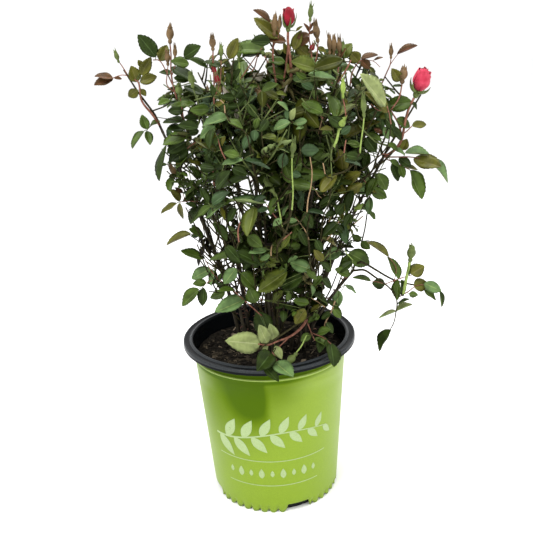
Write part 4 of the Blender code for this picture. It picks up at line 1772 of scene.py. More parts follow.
@dataclass
class Openings:
    """The crown's open places, where no leaf hangs, and the placed leaves that none hangs before."""

    view: "Viewpoint"
    sprays: tuple["Spray", ...]
    gaps: tuple[Gap, ...] = GAPS
    margin: float = 4.0

    def __post_init__(self) -> None:
        """Gather the gaps and the places of the sprays in arrays."""
        self.holes = np.array([(gap.column, gap.row, gap.radius + self.margin) for gap in self.gaps])
        self.shown = np.array([place for spray in self.sprays for place in spray.shown()])

    def crossed(self, base: Vector, tip: Vector) -> bool:
        """Whether a twig from a base to a tip would cross a gap."""
        spots = [self.view.spot(base.lerp(tip, share)) for share in (0.3, 0.65, 1.0)]
        return any(self.near(self.holes, spot).any() for spot in spots)

    def spare(self, base: Vector, tip: Vector) -> bool:
        """Whether a leaf leaves every gap open and hides no placed leaf.

        Args:
            base: Where it starts.
            tip: Where it ends.

        Returns:
            True where it does.
        """
        for share in (0.25, 0.5, 0.75, 1.0):
            point = base.lerp(tip, share)
            spot = self.view.spot(point)
            hides = self.near(self.shown, spot) & (self.shown[:, 3] * MM > point.y)
            if self.near(self.holes, spot).any() or hides.any():
                return False
        return True

    @staticmethod
    def near(places: np.ndarray, spot: tuple[float, float]) -> np.ndarray:
        """Which of some places, given by column, row and radius, reach over a spot."""
        return np.hypot(places[:, 0] - spot[0], places[:, 1] - spot[1]) < places[:, 2]


# The colours dealt up to each height, in metres, and their shares.
TINTS_BY_HEIGHT = (
    (0.30, {Tint.DEEP: 26, Tint.MID: 18, Tint.WARM: 18, Tint.FRESH: 16, Tint.COOL: 20, Tint.OLIVE: 2}),
    (0.45, {Tint.DEEP: 28, Tint.MID: 18, Tint.WARM: 20, Tint.FRESH: 12, Tint.COOL: 17, Tint.OLIVE: 5}),
    (0.53, {Tint.DEEP: 22, Tint.MID: 18, Tint.WARM: 25, Tint.FRESH: 9, Tint.COOL: 9, Tint.OLIVE: 8,
            Tint.DUSK: 9}),
    (0.57, {Tint.DEEP: 12, Tint.MID: 14, Tint.WARM: 30, Tint.FRESH: 5, Tint.COOL: 3, Tint.OLIVE: 20,
            Tint.BRONZE: 2, Tint.DUSK: 14}),
    (1.00, {Tint.DEEP: 4, Tint.MID: 11, Tint.WARM: 31, Tint.FRESH: 3, Tint.COOL: 1, Tint.OLIVE: 26,
            Tint.BRONZE: 6, Tint.DUSK: 18}),
)
# Painted shade: the darker colours dealt in place of others deep inside the crown.
SHADED = {Tint.FRESH: Tint.COOL, Tint.MID: Tint.DEEP, Tint.OLIVE: Tint.DUSK, Tint.WARM: Tint.DEEP}


def deal_tint(point: Vector, rng: random.Random) -> Tint:
    """The colour that a spray at a point is dealt: by its height, and a darker one deep in the crown as
    painted shade.

    Args:
        point: The spray's place.
        rng: The random numbers.

    Returns:
        The colour.
    """
    shares = next(shares for top, shares in TINTS_BY_HEIGHT if point.z < top)
    tint = rng.choices(list(shares), list(shares.values()))[0]
    # Deep in the crown a darker colour is dealt as painted shade.
    return SHADED.get(tint, Tint.SHADE) if Space.is_inner(point) else tint


@dataclass
class Growth:
    """Grows one mass from its bough's tip, by the solids' rule carried on to leaflets.

    Lengths of leaves and twigs are in millimetres, those of the stem and the shoots are shares of
    the mass's size, and lifts are in degrees.
    """

    mass: Mass
    space: Space
    limb: Limb
    foliage: Foliage
    openings: Openings
    rng: random.Random
    leaf_gap: float = 15 * MM
    leaf_lengths: tuple = ((64, 90), (50, 66), (36, 48), (24, 32))
    two_pairs_from: float = 50 * MM
    new_tint_share: float = 0.3
    stem_lead: float = 0.22
    stem_bend: float = 0.12
    stem_end: float = 0.42
    lowest_shoot: float = 0.04
    shoot_spread: float = 0.92
    shoot_lift: tuple[float, float] = (-10, 20)
    shoot_lift_top: float = 45
    shoot_length: tuple[float, float] = (0.65, 1.0)
    shoot_least: float = 14 * MM
    shoot_rise: float = 0.18
    shoot_radii: tuple[float, float] = (1.3 * MM, 0.7 * MM)
    twigs: int = 2
    twig_length: tuple[float, float] = (26, 44)
    twig_radii: tuple[float, float] = (0.8 * MM, 0.5 * MM)
    young_from: float = 0.46
    young_share: float = 0.16
    red_from: float = 0.53
    green_from: float = 0.4
    green_share: float = 0.6
    buds_from: float = 0.49
    bud_share: float = 0.4
    tips: list[tuple[Vector, Vector]] = field(default_factory=list)
    stem: Path = field(default_factory=list)
    wood: list[Path] = field(default_factory=list)

    def grow_stem(self) -> None:
        """The stem: on from the bough's tip, through the centre and out at the top."""
        mass = self.mass
        tip, way = self.limb.path[-1], self.limb.tip_way()
        outward = (mass.centre - tip).normalized()
        goals = [tip - way * 2 * MM, tip + way * mass.size * self.stem_lead,
                 mass.centre - outward * mass.size * self.stem_bend,
                 mass.centre + outward * mass.size * self.stem_end]
        self.stem = flowing(goals, 7 * MM)
        self.wood.append(self.stem)
        self.foliage.add_twig(self.stem, self.limb.radii[-1] * Limbs.slimmer, 0.9 * MM, Wood.DARK, 8)

    def facing(self, point: Vector) -> Vector:
        """Where a leaf's upper side looks: up and out of the crown, a little at random.

        Args:
            point: The leaf's foot.

        Returns:
            The direction, of no set length.
        """
        out = Vector((point.x - self.mass.centre.x * 0.35, point.y - self.mass.centre.y * 0.35, 0))
        out = out.normalized() if out.length > MM else Vector((1, 0, 0))
        return out * 0.55 + UP * 0.85 + scatter(self.rng, 1) * 0.36

    def leafy(self, path: Path, wood: Wood, bare: float) -> None:
        """Set compound leaves along a twig, at the golden angle, all of one dealt colour or near it.

        Args:
            path: The twig's points.
            wood: The stalks' finish.
            bare: How much of the twig's foot has no leaves.
        """
        rng = self.rng
        tint = deal_tint(path[-1], rng)
        total = sum((b - a).length for a, b in zip(path, path[1:]))
        travelled, turn = total * bare, rng.uniform(0, math.tau)
        while travelled < total:
            share = travelled / total
            at = Foliage.along_path(path, share)
            along = Foliage.along_path(path, min(1, share + 0.1)) - Foliage.along_path(path, share - 0.1)
            along.normalize()
            out = Matrix.Rotation(turn, 3, along) @ along.orthogonal().normalized()
            if rng.random() < self.new_tint_share:
                tint = deal_tint(at, rng)
            self.try_leaf(at, out + along * 0.5 + UP * 0.2, tint, wood)
            turn += GOLDEN_ANGLE
            travelled += self.leaf_gap * rng.uniform(0.7, 1.35)
        self.try_leaf(path[-1], (path[-1] - path[-2]).normalized(), tint, wood)

    def try_leaf(self, at: Vector, way: Vector, tint: Tint, wood: Wood) -> None:
        """Add a leaf, as long as the mass's space lets it be.

        Args:
            at: The leaf's foot.
            way: About which way it points.
            tint: Its colour.
            wood: Its stalk's finish.
        """
        rng = self.rng
        for low, high in self.leaf_lengths:
            length = rng.uniform(low, high) * MM
            heading = (way + scatter(rng, 0.2)).normalized()
            tip = at + heading * length
            if self.space.holds(tip) and self.openings.spare(at, tip):
                pairs = 2 if length > self.two_pairs_from else 1
                self.foliage.add_leaf(at, heading, self.facing(at), length, pairs, tint, wood, rng)
                return

    def grow_shoots(self) -> None:
        """The side shoots, at the golden angle up the stem, low ones level and high ones rising."""
        mass, rng = self.mass, self.rng
        phase = rng.uniform(0, math.tau)
        for index in range(mass.shoots):
            share = self.lowest_shoot + self.shoot_spread * index / max(1, mass.shoots - 1)
            start = Foliage.along_path(self.stem, share)
            lift = rng.uniform(*self.shoot_lift) + self.shoot_lift_top * share
            way = bearing(phase + index * GOLDEN_ANGLE, math.radians(lift))
            length = mass.size * rng.uniform(*self.shoot_length)
            while length > self.shoot_least:
                end = start + way * length + UP * length * self.shoot_rise
                if self.space.holds(end):
                    self.grow_shoot(flowing([start, start + way * length * 0.5, end], 8 * MM))
                    break
                length *= 0.8
        self.leafy(self.stem, Wood.GREEN, 0.3)

    def shoot_wood(self, height: float) -> Wood:
        """The finish of a side shoot: young ones are red high up, and others green or dark.

        Args:
            height: The height of its tip.

        Returns:
            The finish.
        """
        if height > self.young_from and self.rng.random() < self.young_share:
            return Wood.RED if height > self.red_from else Wood.DARK
        green = height > self.green_from and self.rng.random() < self.green_share
        return Wood.GREEN if green else Wood.DARK

    def grow_shoot(self, path: Path) -> None:
        """Grow one side shoot, its leaves and twigs, and the bud that some bear.

        Args:
            path: The shoot's points.
        """
        rng = self.rng
        wood = self.shoot_wood(path[-1].z)
        self.foliage.add_twig(path, *self.shoot_radii, wood)
        self.wood.append(path)
        self.leafy(path, wood, 0.25)
        along = (path[-1] - path[0]).normalized()
        self.tips.append((path[-1], along))
        if path[-1].z > self.buds_from and rng.random() < self.bud_share:
            self.add_bud(path[-1], along)
        turn = rng.uniform(0, math.tau)
        for number in range(self.twigs):
            start = Foliage.along_path(path, 0.3 + 0.5 * number / self.twigs)
            out = Matrix.Rotation(turn + number * GOLDEN_ANGLE, 3, along) @ along.orthogonal().normalized()
            length = rng.uniform(*self.twig_length) * MM
            end = start + (out + along * 0.6 + UP * 0.25).normalized() * length
            if self.space.holds(end) and not self.openings.crossed(start, end):
                twig = flowing([start, start.lerp(end, 0.5) + UP * MM, end], 7 * MM)
                self.foliage.add_twig(twig, *self.twig_radii, wood, 5)
                self.leafy(twig, wood, 0.35)

    def add_bud(self, tip: Vector, way: Vector) -> None:
        """Set a bud on a thin stem at a shoot's tip, where there is room for it.

        Args:
            tip: The shoot's tip.
            way: Which way the shoot points.
        """
        rng = self.rng
        rise = (way + UP * 1.2).normalized()
        foot = tip + rise * rng.uniform(12, 26) * MM
        if self.space.in_crown(foot + rise * 16 * MM):
            self.foliage.add_twig(flowing([tip, foot], 4 * MM), 0.8 * MM, 0.7 * MM, Wood.RED, 6)
            size, girth = rng.uniform(15, 21) * MM, rng.uniform(3.4, 4.6) * MM
            skin = rng.choice((Skin.SEPAL, Skin.SEPAL_BRONZE, Skin.SEPAL_BRONZE))
            bud = Bud(size, girth, skin, rng.random() < 0.15)
            bud.add_to(self.foliage.blossom, foot, rise, rng)

    def grow(self) -> list[Path]:
        """Grow the whole mass.

        Returns:
            The paths of its wood.
        """
        self.grow_stem()
        if self.mass.shoots:
            self.grow_shoots()
        return self.wood


@dataclass
class FarBlooms:
    """The blooms on the sides of the crown that face away, each on the best shoot tip of its side."""

    foliage: Foliage
    bearings: tuple = (math.radians(48), math.radians(90), math.radians(136))
    heights: tuple = (450 * MM, 505 * MM)
    depths: tuple = (60 * MM, 112 * MM)
    stem: float = 22 * MM
    height: float = 28 * MM
    girth: float = 10.5 * MM
    seed: int = 33

    def grow(self, tips: Sequence[tuple[Vector, Vector]]) -> None:
        """Set one bloom for each bearing.

        Args:
            tips: The tips of the shoots and the ways they point.
        """
        rng = random.Random(self.seed)
        (low, top), (near, far) = self.heights, self.depths
        middle = millimetres(20, 0, 480)
        high = [(tip, way) for tip, way in tips if low < tip.z < top and near < tip.y < far]
        for number, azimuth in enumerate(self.bearings):
            side = bearing(azimuth, 0.35)
            tip, way = max(high, key=lambda pair: (pair[0] - middle).dot(side))
            rise = (way + side * 0.5 + UP * 1.2).normalized()
            foot = tip + rise * self.stem
            self.foliage.add_twig(flowing([tip, foot], 5 * MM), 1.2 * MM, 1.1 * MM, Wood.RED, 8)
            bloom = Bloom(self.height, self.girth, number % 2 == 0)
            bloom.add_to(self.foliage.blossom, foot, rise, rng)


@dataclass
class Underwood:
    """The thin stems, living and dry, that fork from the canes low down and cross between them."""

    limbs: dict[str, Limb]
    regions: dict[str, Foliage]
    openings: Openings
    forks: int = 5
    low: float = 214 * MM
    high: float = 400 * MM
    fork_lift: tuple[float, float] = (50, 80)
    fork_length: tuple[float, float] = (60, 190)
    fork_radii: tuple[float, float] = (1.25 * MM, 0.7 * MM)
    dry_share: float = 0.05
    leaf_length: tuple[float, float] = (40, 68)
    two_pairs_from: float = 56 * MM
    seed: int = 61

    def grow(self) -> list[Path]:
        """Grow the forks of every cane.

        Returns:
            The paths of the new stems.
        """
        rng = random.Random(self.seed)
        paths = []
        for limb in self.limbs.values():
            for _ in range(self.forks):
                path = self.fork(limb, rng)
                if path:
                    paths.append(path)
        return paths

    def fork(self, limb: Limb, rng: random.Random) -> Path:
        """Grow one fork, with a few leaves on its outer half unless it is dry.

        Args:
            limb: The cane that it grows from.
            rng: The source of its place and length.

        Returns:
            Its points, or none where the cane doesn't reach its height.
        """
        share = (rng.uniform(self.low, self.high) - limb.path[0].z) / (limb.path[-1].z - limb.path[0].z)
        if not 0.02 < share < 0.95:
            return []
        start = limb.at(share)
        out = math.atan2(start.y, start.x) + rng.gauss(0, 0.7)
        way = bearing(out, math.radians(rng.uniform(*self.fork_lift)))
        length = rng.uniform(*self.fork_length) * MM
        end = start + way * length
        while length > 20 * MM and not Space.in_crown(end):
            length *= 0.8
            end = start + way * length
        sway = Vector((rng.gauss(0, 1), rng.gauss(0, 1), 0)) * length * 0.06
        path = flowing([start, start.lerp(end, 0.5) + sway, end], 8 * MM)
        foliage = self.regions["lower_left" if end.x < 0 else "lower_right"]
        dry = rng.random() < self.dry_share
        foliage.add_twig(path, *self.fork_radii, Wood.DRY if dry else Wood.DARK)
        for index in range(0 if dry else rng.choice((2, 3, 4))):
            at = Foliage.along_path(path, 1 - index * 0.16)
            heading = (way + bearing(out + index * GOLDEN_ANGLE, 0.1) * 1.2).normalized()
            leaf = rng.uniform(*self.leaf_length) * MM
            tip = at + heading * leaf
            if Space.in_crown(tip) and self.openings.spare(at, tip):
                facing = bearing(out, math.radians(50)) + Vector((rng.gauss(0, 0.3), rng.gauss(0, 0.3), 0))
                pairs = 1 if leaf < self.two_pairs_from else 2
                foliage.add_leaf(at, heading, facing, leaf, pairs, deal_tint(at, rng), Wood.DARK, rng)
        return path


# ---------------------------------------------------------------- placed sprays
Spot = tuple[float, float]
# The room kept clear round placed leaflets, beside their own width, and round heads, in pixels.
BLADE_ROOM = 3.0
HEAD_ROOM = 5.0


class HeadKind(Enum):
    """What a stem ends in."""

    GREEN_BUD = 0
    BRONZE_BUD = 1
    RED_BUD = 2
    BLOOM = 3
    DEEP_BLOOM = 4
    LIME_BUD = 5


@dataclass(frozen=True)
class Blade:
    """A leaflet as it is seen: the places of its base and tip, how wide it looks, and its colour."""

    base_column: float
    base_row: float
    tip_column: float
    tip_row: float
    width: float
    tint: Tint = Tint.MID

    def base(self) -> Spot:
        """The place of its base."""
        return self.base_column, self.base_row

    def tip(self) -> Spot:
        """The place of its tip."""
        return self.tip_column, self.tip_row


@dataclass(frozen=True)
class Head:
    """A bud or bloom as it is seen: the places of its foot and tip, how wide it looks, and its kind."""

    foot_column: float
    foot_row: float
    tip_column: float
    tip_row: float
    width: float
    kind: HeadKind = HeadKind.BRONZE_BUD


@dataclass(frozen=True)
class Stalk:
    """A stem as it is seen: the places it passes, its radii in millimetres, and its finish."""

    spots: tuple[Spot, ...]
    start: float = 0.7
    end: float = 0.5
    wood: Wood = Wood.RED


@dataclass(frozen=True)
class Spray:
    """A spray given by where its parts are seen.

    Its depth goes from that of its foot, the first spot of its first stem, to that of its furthest
    part. It grows from the tip of a named limb, or else from the nearest wood below it.
    """

    depth: float
    reach: float
    stalks: tuple[Stalk, ...]
    blades: tuple[Blade, ...] = ()
    heads: tuple[Head, ...] = ()
    limb: str = ""

    def depth_at(self, spot: Spot) -> float:
        """The depth of a place of this spray.

        Args:
            spot: The place.

        Returns:
            The depth, in millimetres.
        """
        foot = self.stalks[0].spots[0]
        spots = [place for stalk in self.stalks for place in stalk.spots]
        spots += [(part.tip_column, part.tip_row) for part in self.blades + self.heads]
        far = max(math.dist(foot, place) for place in spots)
        return blend(self.depth, self.reach, math.dist(foot, spot) / far)

    def shown(self) -> list[tuple[float, float, float, float]]:
        """The places that no grown leaf may hide.

        Returns:
            For each, the column, the row, the room to keep clear round it, and the depth.
        """
        places = []
        for blade in self.blades:
            if blade.tint is not Tint.FADED:
                base, tip = np.array(blade.base()), np.array(blade.tip())
                for share in (0.2, 0.5, 0.8):
                    spot = tuple(base + (tip - base) * share)
                    places.append((*spot, 0.4 * blade.width + BLADE_ROOM, self.depth_at(spot)))
        for head in self.heads:
            spot = (head.tip_column, head.tip_row)
            places.append((*spot, HEAD_ROOM, self.depth_at(spot)))
        return places


def leaves(**rows: Sequence[tuple]) -> tuple[Blade, ...]:
    """Leaflets from rows of their places and widths, grouped by the names of their colours."""
    return tuple(Blade(*row, Tint[name]) for name, group in rows.items() for row in group)


def heads(**rows: Sequence[tuple]) -> tuple[Head, ...]:
    """Buds and blooms from rows of their places and widths, grouped by the names of their kinds."""
    return tuple(Head(*row, HeadKind[name]) for name, group in rows.items() for row in group)


LEFT_SPRIG = Spray(-10, -38, (
    Stalk(((159, 124), (152, 114), (145, 106), (141, 99), (140, 91), (139, 84), (137, 80)), 1.8, 1),
    Stalk(((139, 83), (131, 77), (122, 75), (113, 78))), Stalk(((127, 74), (122, 66), (119, 62))),
    Stalk(((159, 123), (152, 125), (147, 130)), wood=Wood.GREEN)), leaves(
    OLIVE=((141, 75, 151, 57, 13), (142, 66, 138, 60, 7), (137, 82, 131, 66, 13), (140, 82, 156, 75, 9),
           (138, 90, 128, 97, 11), (141, 89, 146, 96, 6)),
    BRONZE=((113, 78, 95, 75, 8), (113, 79, 94, 84, 10), (114, 78, 122, 79, 4)),
    MID=((147, 129, 142, 115, 12), (144, 131, 131, 147, 8), (147, 131, 150, 145, 9),
         (160, 121, 150, 125, 4))), heads(
    GREEN_BUD=((119, 63, 115, 51, 5),)), limb="cane_left_sprig")
LEFT_FAN = Spray(-20, -40, (
    Stalk(((174, 88), (167, 73), (160, 61), (153, 60)), 0.9, 0.6),), leaves(
    DEEP=((156, 57, 139, 34, 17), (172, 73, 159, 72, 7)),
    OLIVE=((160, 61, 167, 45, 13),)))
TALL_BUD = Spray(-36, -52, (
    Stalk(((177, 99), (173, 85), (171, 70), (171, 55), (170, 44)), 1.1, 0.8),
    Stalk(((174, 92), (167, 85), (167, 75), (168, 66))), Stalk(((172, 75), (175, 66), (175, 60)))), leaves(
    DEEP=((190, 80, 174, 77, 9), (184, 57, 200, 46, 13), (171, 67, 197, 82, 12), (203, 94, 184, 85, 10)),
    MID=((189, 64, 171, 61, 11), (170, 100, 158, 104, 6), (192, 102, 171, 106, 12))), heads(
    BRONZE_BUD=((170, 44, 170, 26, 8), (168, 66, 167, 51, 6), (175, 60, 175, 46, 4.5))))
RED_BUDS = Spray(-84, -104, (
    Stalk(((214, 104), (214, 80), (213, 65), (213, 51)), 1, 0.8),
    Stalk(((215, 95), (218, 90), (219, 86))), Stalk(((214, 84), (217, 80), (217, 77))),
    Stalk(((200, 108), (196, 97), (193, 88)), 0.9, 0.7, Wood.GREEN),
    Stalk(((220, 84), (221, 70), (221, 60)))), leaves(
    DEEP=((207, 68, 191, 57, 7), (222, 67, 204, 60, 7), (198, 128, 178, 124, 11)),
    OLIVE=((229, 59, 238, 38, 15),),
    MID=((209, 109, 190, 110, 13),),
    FRESH=((228, 117, 203, 123, 13), (215, 126, 200, 138, 12))), heads(
    BRONZE_BUD=((213, 51, 212, 36, 7),),
    RED_BUD=((217, 77, 212, 64, 4.5), (219, 86, 216, 74, 5)),
    GREEN_BUD=((221, 60, 221, 45, 5), (193, 88, 190, 72, 7))))
LEFT_TOP = Spray(-62, -80, (
    Stalk(((240, 92), (240, 75), (239, 61)), 0.9, 0.8, Wood.LIME),
    Stalk(((240, 80), (252, 62), (262, 48)))), leaves(
    MID=((265, 50, 232, 46, 13), (262, 91, 278, 83, 9)),
    DEEP=((270, 41, 251, 42, 12), (262, 54, 243, 54, 7)),
    FRESH=((255, 88, 235, 88, 8),)), heads(
    GREEN_BUD=((239, 62, 239, 44, 6),)))
TOP_BLOOM = Spray(-58, -76, (
    Stalk(((291, 80), (291, 70), (290, 58), (288, 42), (288, 31)), 1.8, 1.4),
    Stalk(((281, 102), (283, 85), (286, 66), (288, 46)), 1.2, 1),
    Stalk(((278, 95), (273, 60), (274, 36)), 1.3, 1), Stalk(((274, 45), (278, 38), (279, 33)))), leaves(
    OLIVE=((279, 38, 254, 18, 16), (294, 50, 301, 30, 12), (286, 54, 284, 42, 6), (296, 31, 302, 26, 3)),
    BRONZE=((270, 22, 254, 9, 6), (286, 41, 267, 38, 9)),
    MID=((285, 62, 268, 60, 10), (287, 78, 268, 66, 11)),
    DEEP=((270, 40, 251, 41, 12),),
    FRESH=((292, 76, 303, 82, 8),)), heads(
    DEEP_BLOOM=((288, 32, 289, 6, 13.5),),
    BRONZE_BUD=((274, 37, 275, 15, 7), (279, 33, 280, 17, 5))))
YOUNG_TIPS = Spray(-56, -72, (
    Stalk(((313, 78), (311, 50), (309, 38), (310, 27), (310, 21)), 1, 0.6),
    Stalk(((313, 70), (317, 55), (318, 42)), 0.9, 0.7)), leaves(
    BRONZE=((309, 34, 297, 37, 6), (309, 33, 317, 31, 4), (309, 32, 304, 23, 4), (310, 30, 314, 22, 3),
            (309, 37, 301, 46, 8)),
    OLIVE=((309, 56, 294, 43, 12), (318, 47, 326, 52, 6))), heads(
    GREEN_BUD=((310, 22, 311, 5, 6),),
    BRONZE_BUD=((318, 43, 315, 23, 7.5),),
    RED_BUD=((309, 53, 314, 44, 5.5),)))
FADED_PETALS = Spray(-58, -70, (
    Stalk(((262, 92), (262, 84), (260, 80)), 0.6, 0.4, Wood.DARK),
    Stalk(((234, 104), (232, 100), (231, 97)), 0.6, 0.4, Wood.DARK)), leaves(
    FADED=((262, 80, 253, 73, 8), (260, 80, 264, 71, 5), (231, 97, 223, 86, 8), (232, 97, 235, 90, 6),
           (237, 119, 235, 104, 7), (283, 99, 287, 85, 6))))
BUD_CLUSTER = Spray(-56, -66, (
    Stalk(((337, 84), (336, 66), (334, 55)), 1, 0.7, Wood.GREEN),
    Stalk(((336, 66), (340, 60), (340, 55))), Stalk(((336, 68), (331, 60), (330, 53))),
    Stalk(((336, 66), (342, 62), (343, 57)))), leaves(
    WARM=((341, 58, 352, 43, 14),),
    MID=((339, 72, 354, 66, 7),),
    OLIVE=((334, 62, 326, 52, 6), (332, 60, 333, 45, 5)),
    BRONZE=((338, 62, 345, 48, 5),)), heads(
    BRONZE_BUD=((334, 57, 334, 36, 6), (340, 58, 339, 38, 6), (330, 55, 329, 35, 5.5)),
    GREEN_BUD=((344, 58, 343, 42, 5),)))
DARK_TIPS = Spray(-40, -54, (
    Stalk(((350, 86), (352, 73), (357, 64), (361, 60)), 0.9, 0.6),
    Stalk(((361, 60), (373, 61), (380, 67)), 0.5, 0.4)), leaves(
    OLIVE=((359, 62, 350, 52, 12),),
    BRONZE=((361, 60, 370, 69, 10), (361, 59, 378, 55, 5), (374, 60, 383, 57, 3))))
SLIM_BUD = Spray(-30, -44, (
    Stalk(((373, 98), (382, 83), (386, 74), (390, 65), (391, 58)), 1, 0.6),
    Stalk(((390, 65), (394, 59), (398, 54)), 0.5, 0.4)), leaves(
    BRONZE=((397, 54, 417, 45, 5),)), heads(
    BRONZE_BUD=((391, 59, 391, 46, 5),)))
RIGHT_BLOOM = Spray(-26, -44, (
    Stalk(((384, 157), (392, 152), (398, 146), (402, 138), (404, 128), (406, 118), (409, 108),
           (414, 98)), 2, 1.5),
    Stalk(((402, 139), (400, 128), (396, 119), (391, 111), (388, 105)), 1.1, 0.8),
    Stalk(((403, 134), (407, 131), (412, 126)), 0.8, 0.6),
    Stalk(((391, 110), (399, 98), (402, 84)), 1, 0.9),
    Stalk(((384, 157), (381, 148), (384, 140), (389, 129)), 1.3, 0.8, Wood.DARK)), leaves(
    MID=((412, 102, 385, 106, 21), (396, 119, 410, 127, 8), (389, 129, 395, 138, 6)),
    OLIVE=((412, 126, 427, 123, 9), (402, 150, 407, 139, 11), (400, 81, 392, 69, 11)),
    DEEP=((412, 102, 418, 111, 3), (402, 86, 392, 86, 2))), heads(
    BLOOM=((415, 98, 426, 67, 18.5),),
    BRONZE_BUD=((402, 84, 404, 67, 9),)), limb="cane_right_shoulder")
PALE_LEAF = Spray(-84, -100, (
    Stalk(((391, 124), (389, 113), (387, 106))),
    Stalk(((388, 112), (378, 110), (371, 104)), 0.5, 0.4)), leaves(
    PALE=((386, 105, 361, 74, 15),),
    OLIVE=((388, 112, 366, 91, 12),)))
RIGHT_FAN = Spray(-30, -64, (
    Stalk(((384, 157), (396, 157), (410, 157), (431, 160)), 1, 0.5),
    Stalk(((386, 159), (398, 164), (410, 170)))), leaves(
    FRESH=((405, 153, 429, 153, 9), (432, 160, 451, 181, 11)),
    OLIVE=((414, 158, 441, 167, 14), (404, 167, 418, 169, 4)),
    MID=((410, 170, 422, 199, 13), (400, 165, 404, 178, 10), (378, 174, 388, 190, 11),
         (376, 178, 366, 196, 12)),
    DEEP=((392, 163, 399, 181, 10), (399, 158, 411, 166, 9))))
RIGHT_ARCH = Spray(-42, -56, (
    Stalk(((353, 271), (364, 270), (375, 277), (385, 284), (394, 293), (397, 302), (396, 312),
           (394, 322), (390, 330)), 1.5, 0.6, Wood.DARK),
    Stalk(((385, 284), (393, 281), (401, 278), (412, 275))),
    Stalk(((397, 298), (404, 294), (409, 291), (415, 286)), 0.9, 0.6),
    Stalk(((403, 294), (406, 280), (410, 261)), 2, 1.6, Wood.LIME),
    Stalk(((394, 282), (396, 268), (389, 257)), 0.5, 0.4),
    Stalk(((415, 286), (424, 285), (433, 292)), 0.5, 0.4),
    Stalk(((385, 284), (378, 282), (371, 281)), 0.5, 0.4)), leaves(
    MID=((349, 253, 371, 264, 16), (371, 281, 353, 276, 6), (399, 279, 389, 257, 10),
         (398, 279, 397, 300, 8), (424, 290, 437, 300, 8), (409, 294, 418, 295, 7)),
    DEEP=((385, 284, 372, 283, 11), (401, 280, 404, 297, 7), (409, 275, 408, 262, 6),
          (440, 291, 442, 307, 5), (397, 304, 409, 298, 3), (391, 330, 376, 350, 10)),
    OLIVE=((389, 257, 369, 240, 8), (411, 274, 424, 266, 14), (414, 287, 427, 282, 14)),
    FRESH=((424, 283, 441, 291, 14),),
    PALE=((396, 311, 412, 303, 6), (396, 311, 378, 317, 4))), heads(
    GREEN_BUD=((410, 262, 412, 246, 8.5),)), limb="cane_right_arch")
RIGHT_TWIGS = Spray(-20, -36, (
    Stalk(((332, 243), (345, 240), (362, 241), (370, 240)), 0.9, 0.4, Wood.DARK),
    Stalk(((346, 231), (363, 216)), 0.9, 0.8, Wood.DRY), Stalk(((346, 220), (363, 211)), 0.9, 0.8, Wood.DARK),
    Stalk(((362, 241), (365, 228), (367, 214)), 0.9, 0.8, Wood.DARK),
    Stalk(((341, 278), (345, 285)), 0.5, 0.4)), leaves(
    MID=((361, 241, 352, 235, 7), (361, 242, 370, 249, 9), (344, 270, 349, 254, 12),
         (333, 306, 342, 315, 8)),
    FRESH=((369, 211, 375, 219, 4), (368, 210, 356, 207, 4), (345, 285, 358, 292, 5),
           (341, 250, 322, 258, 14), (338, 290, 337, 308, 12))))
HOOKED_BUD = Spray(-26, -36, (
    Stalk(((190, 158), (184, 160), (181, 170), (184, 180), (184, 187), (180, 186),
           (176, 177)), 0.9, 0.7, Wood.DARK),), leaves(
    DEEP=((166, 145, 156, 180, 2),),
    OLIVE=((190, 160, 176, 163, 3),)), heads(
    BRONZE_BUD=((177, 178, 170, 165, 6),)))
LEFT_WHORL = Spray(-26, -38, (
    Stalk(((198, 202), (190, 201), (180, 202))),), leaves(
    OLIVE=((180, 201, 171, 189, 8), (177, 203, 161, 213, 6), (180, 203, 181, 220, 7)),
    BRONZE=((183, 193, 175, 187, 5),),
    DEEP=((183, 201, 198, 197, 4), (198, 206, 188, 222, 6))))
LEFT_LOW = Spray(-30, -52, (
    Stalk(((222, 250), (212, 243), (205, 237), (190, 234)), 0.8, 0.5, Wood.DARK),
    Stalk(((222, 282), (212, 272), (205, 259)), 0.8, 0.5),
    Stalk(((219, 279), (208, 282), (202, 288)), 0.6, 0.4)), leaves(
    OLIVE=((191, 234, 165, 242, 8),),
    MID=((204, 236, 189, 229, 7), (205, 258, 181, 250, 8), (206, 282, 193, 284, 9),
         (199, 289, 180, 305, 13), (225, 293, 210, 297, 9)),
    FRESH=((211, 269, 190, 278, 14), (214, 270, 211, 286, 7)),
    DEEP=((204, 288, 202, 306, 10),)))
FRONT_LOW = Spray(-58, -84, (
    Stalk(((262, 316), (254, 309), (244, 300), (233, 290)), 0.9, 0.6),
    Stalk(((262, 300), (252, 288), (241, 274)), 0.7, 0.4)), leaves(
    FRESH=((245, 299, 215, 312, 18), (236, 268, 224, 284, 13), (310, 269, 290, 262, 13)),
    MID=((241, 273, 257, 289, 14), (249, 289, 256, 303, 13), (309, 303, 293, 300, 9),
         (235, 290, 218, 289, 6)),
    WARM=((287, 271, 258, 291, 17),),
    DEEP=((303, 276, 281, 288, 14), (268, 332, 257, 311, 19)),
    OLIVE=((305, 309, 295, 324, 11),)))
RIM_SPRAY = Spray(-52, -112, (
    Stalk(((307, 320), (301, 328), (294, 334), (287, 338), (278, 341), (268, 345), (258, 344)), 1.9, 0.8),
    Stalk(((290, 336), (280, 346), (274, 352)), 0.9, 0.6),
    Stalk(((307, 322), (311, 332), (315, 341)), 0.9, 0.6),
    Stalk(((307, 334), (302, 345), (296, 353)), 1.1, 0.9, Wood.LIME),
    Stalk(((312, 333), (324, 338), (331, 344)))), leaves(
    PALE=((260, 344, 228, 341, 21), (267, 343, 259, 325, 13), (275, 340, 270, 325, 12),
          (268, 346, 262, 356, 6), (275, 346, 282, 359, 9)),
    MID=((310, 334, 301, 341, 9), (315, 338, 330, 346, 9), (318, 333, 330, 329, 8))), heads(
    GREEN_BUD=((297, 353, 287, 364, 7.5),)), limb="cane_rim_spray")
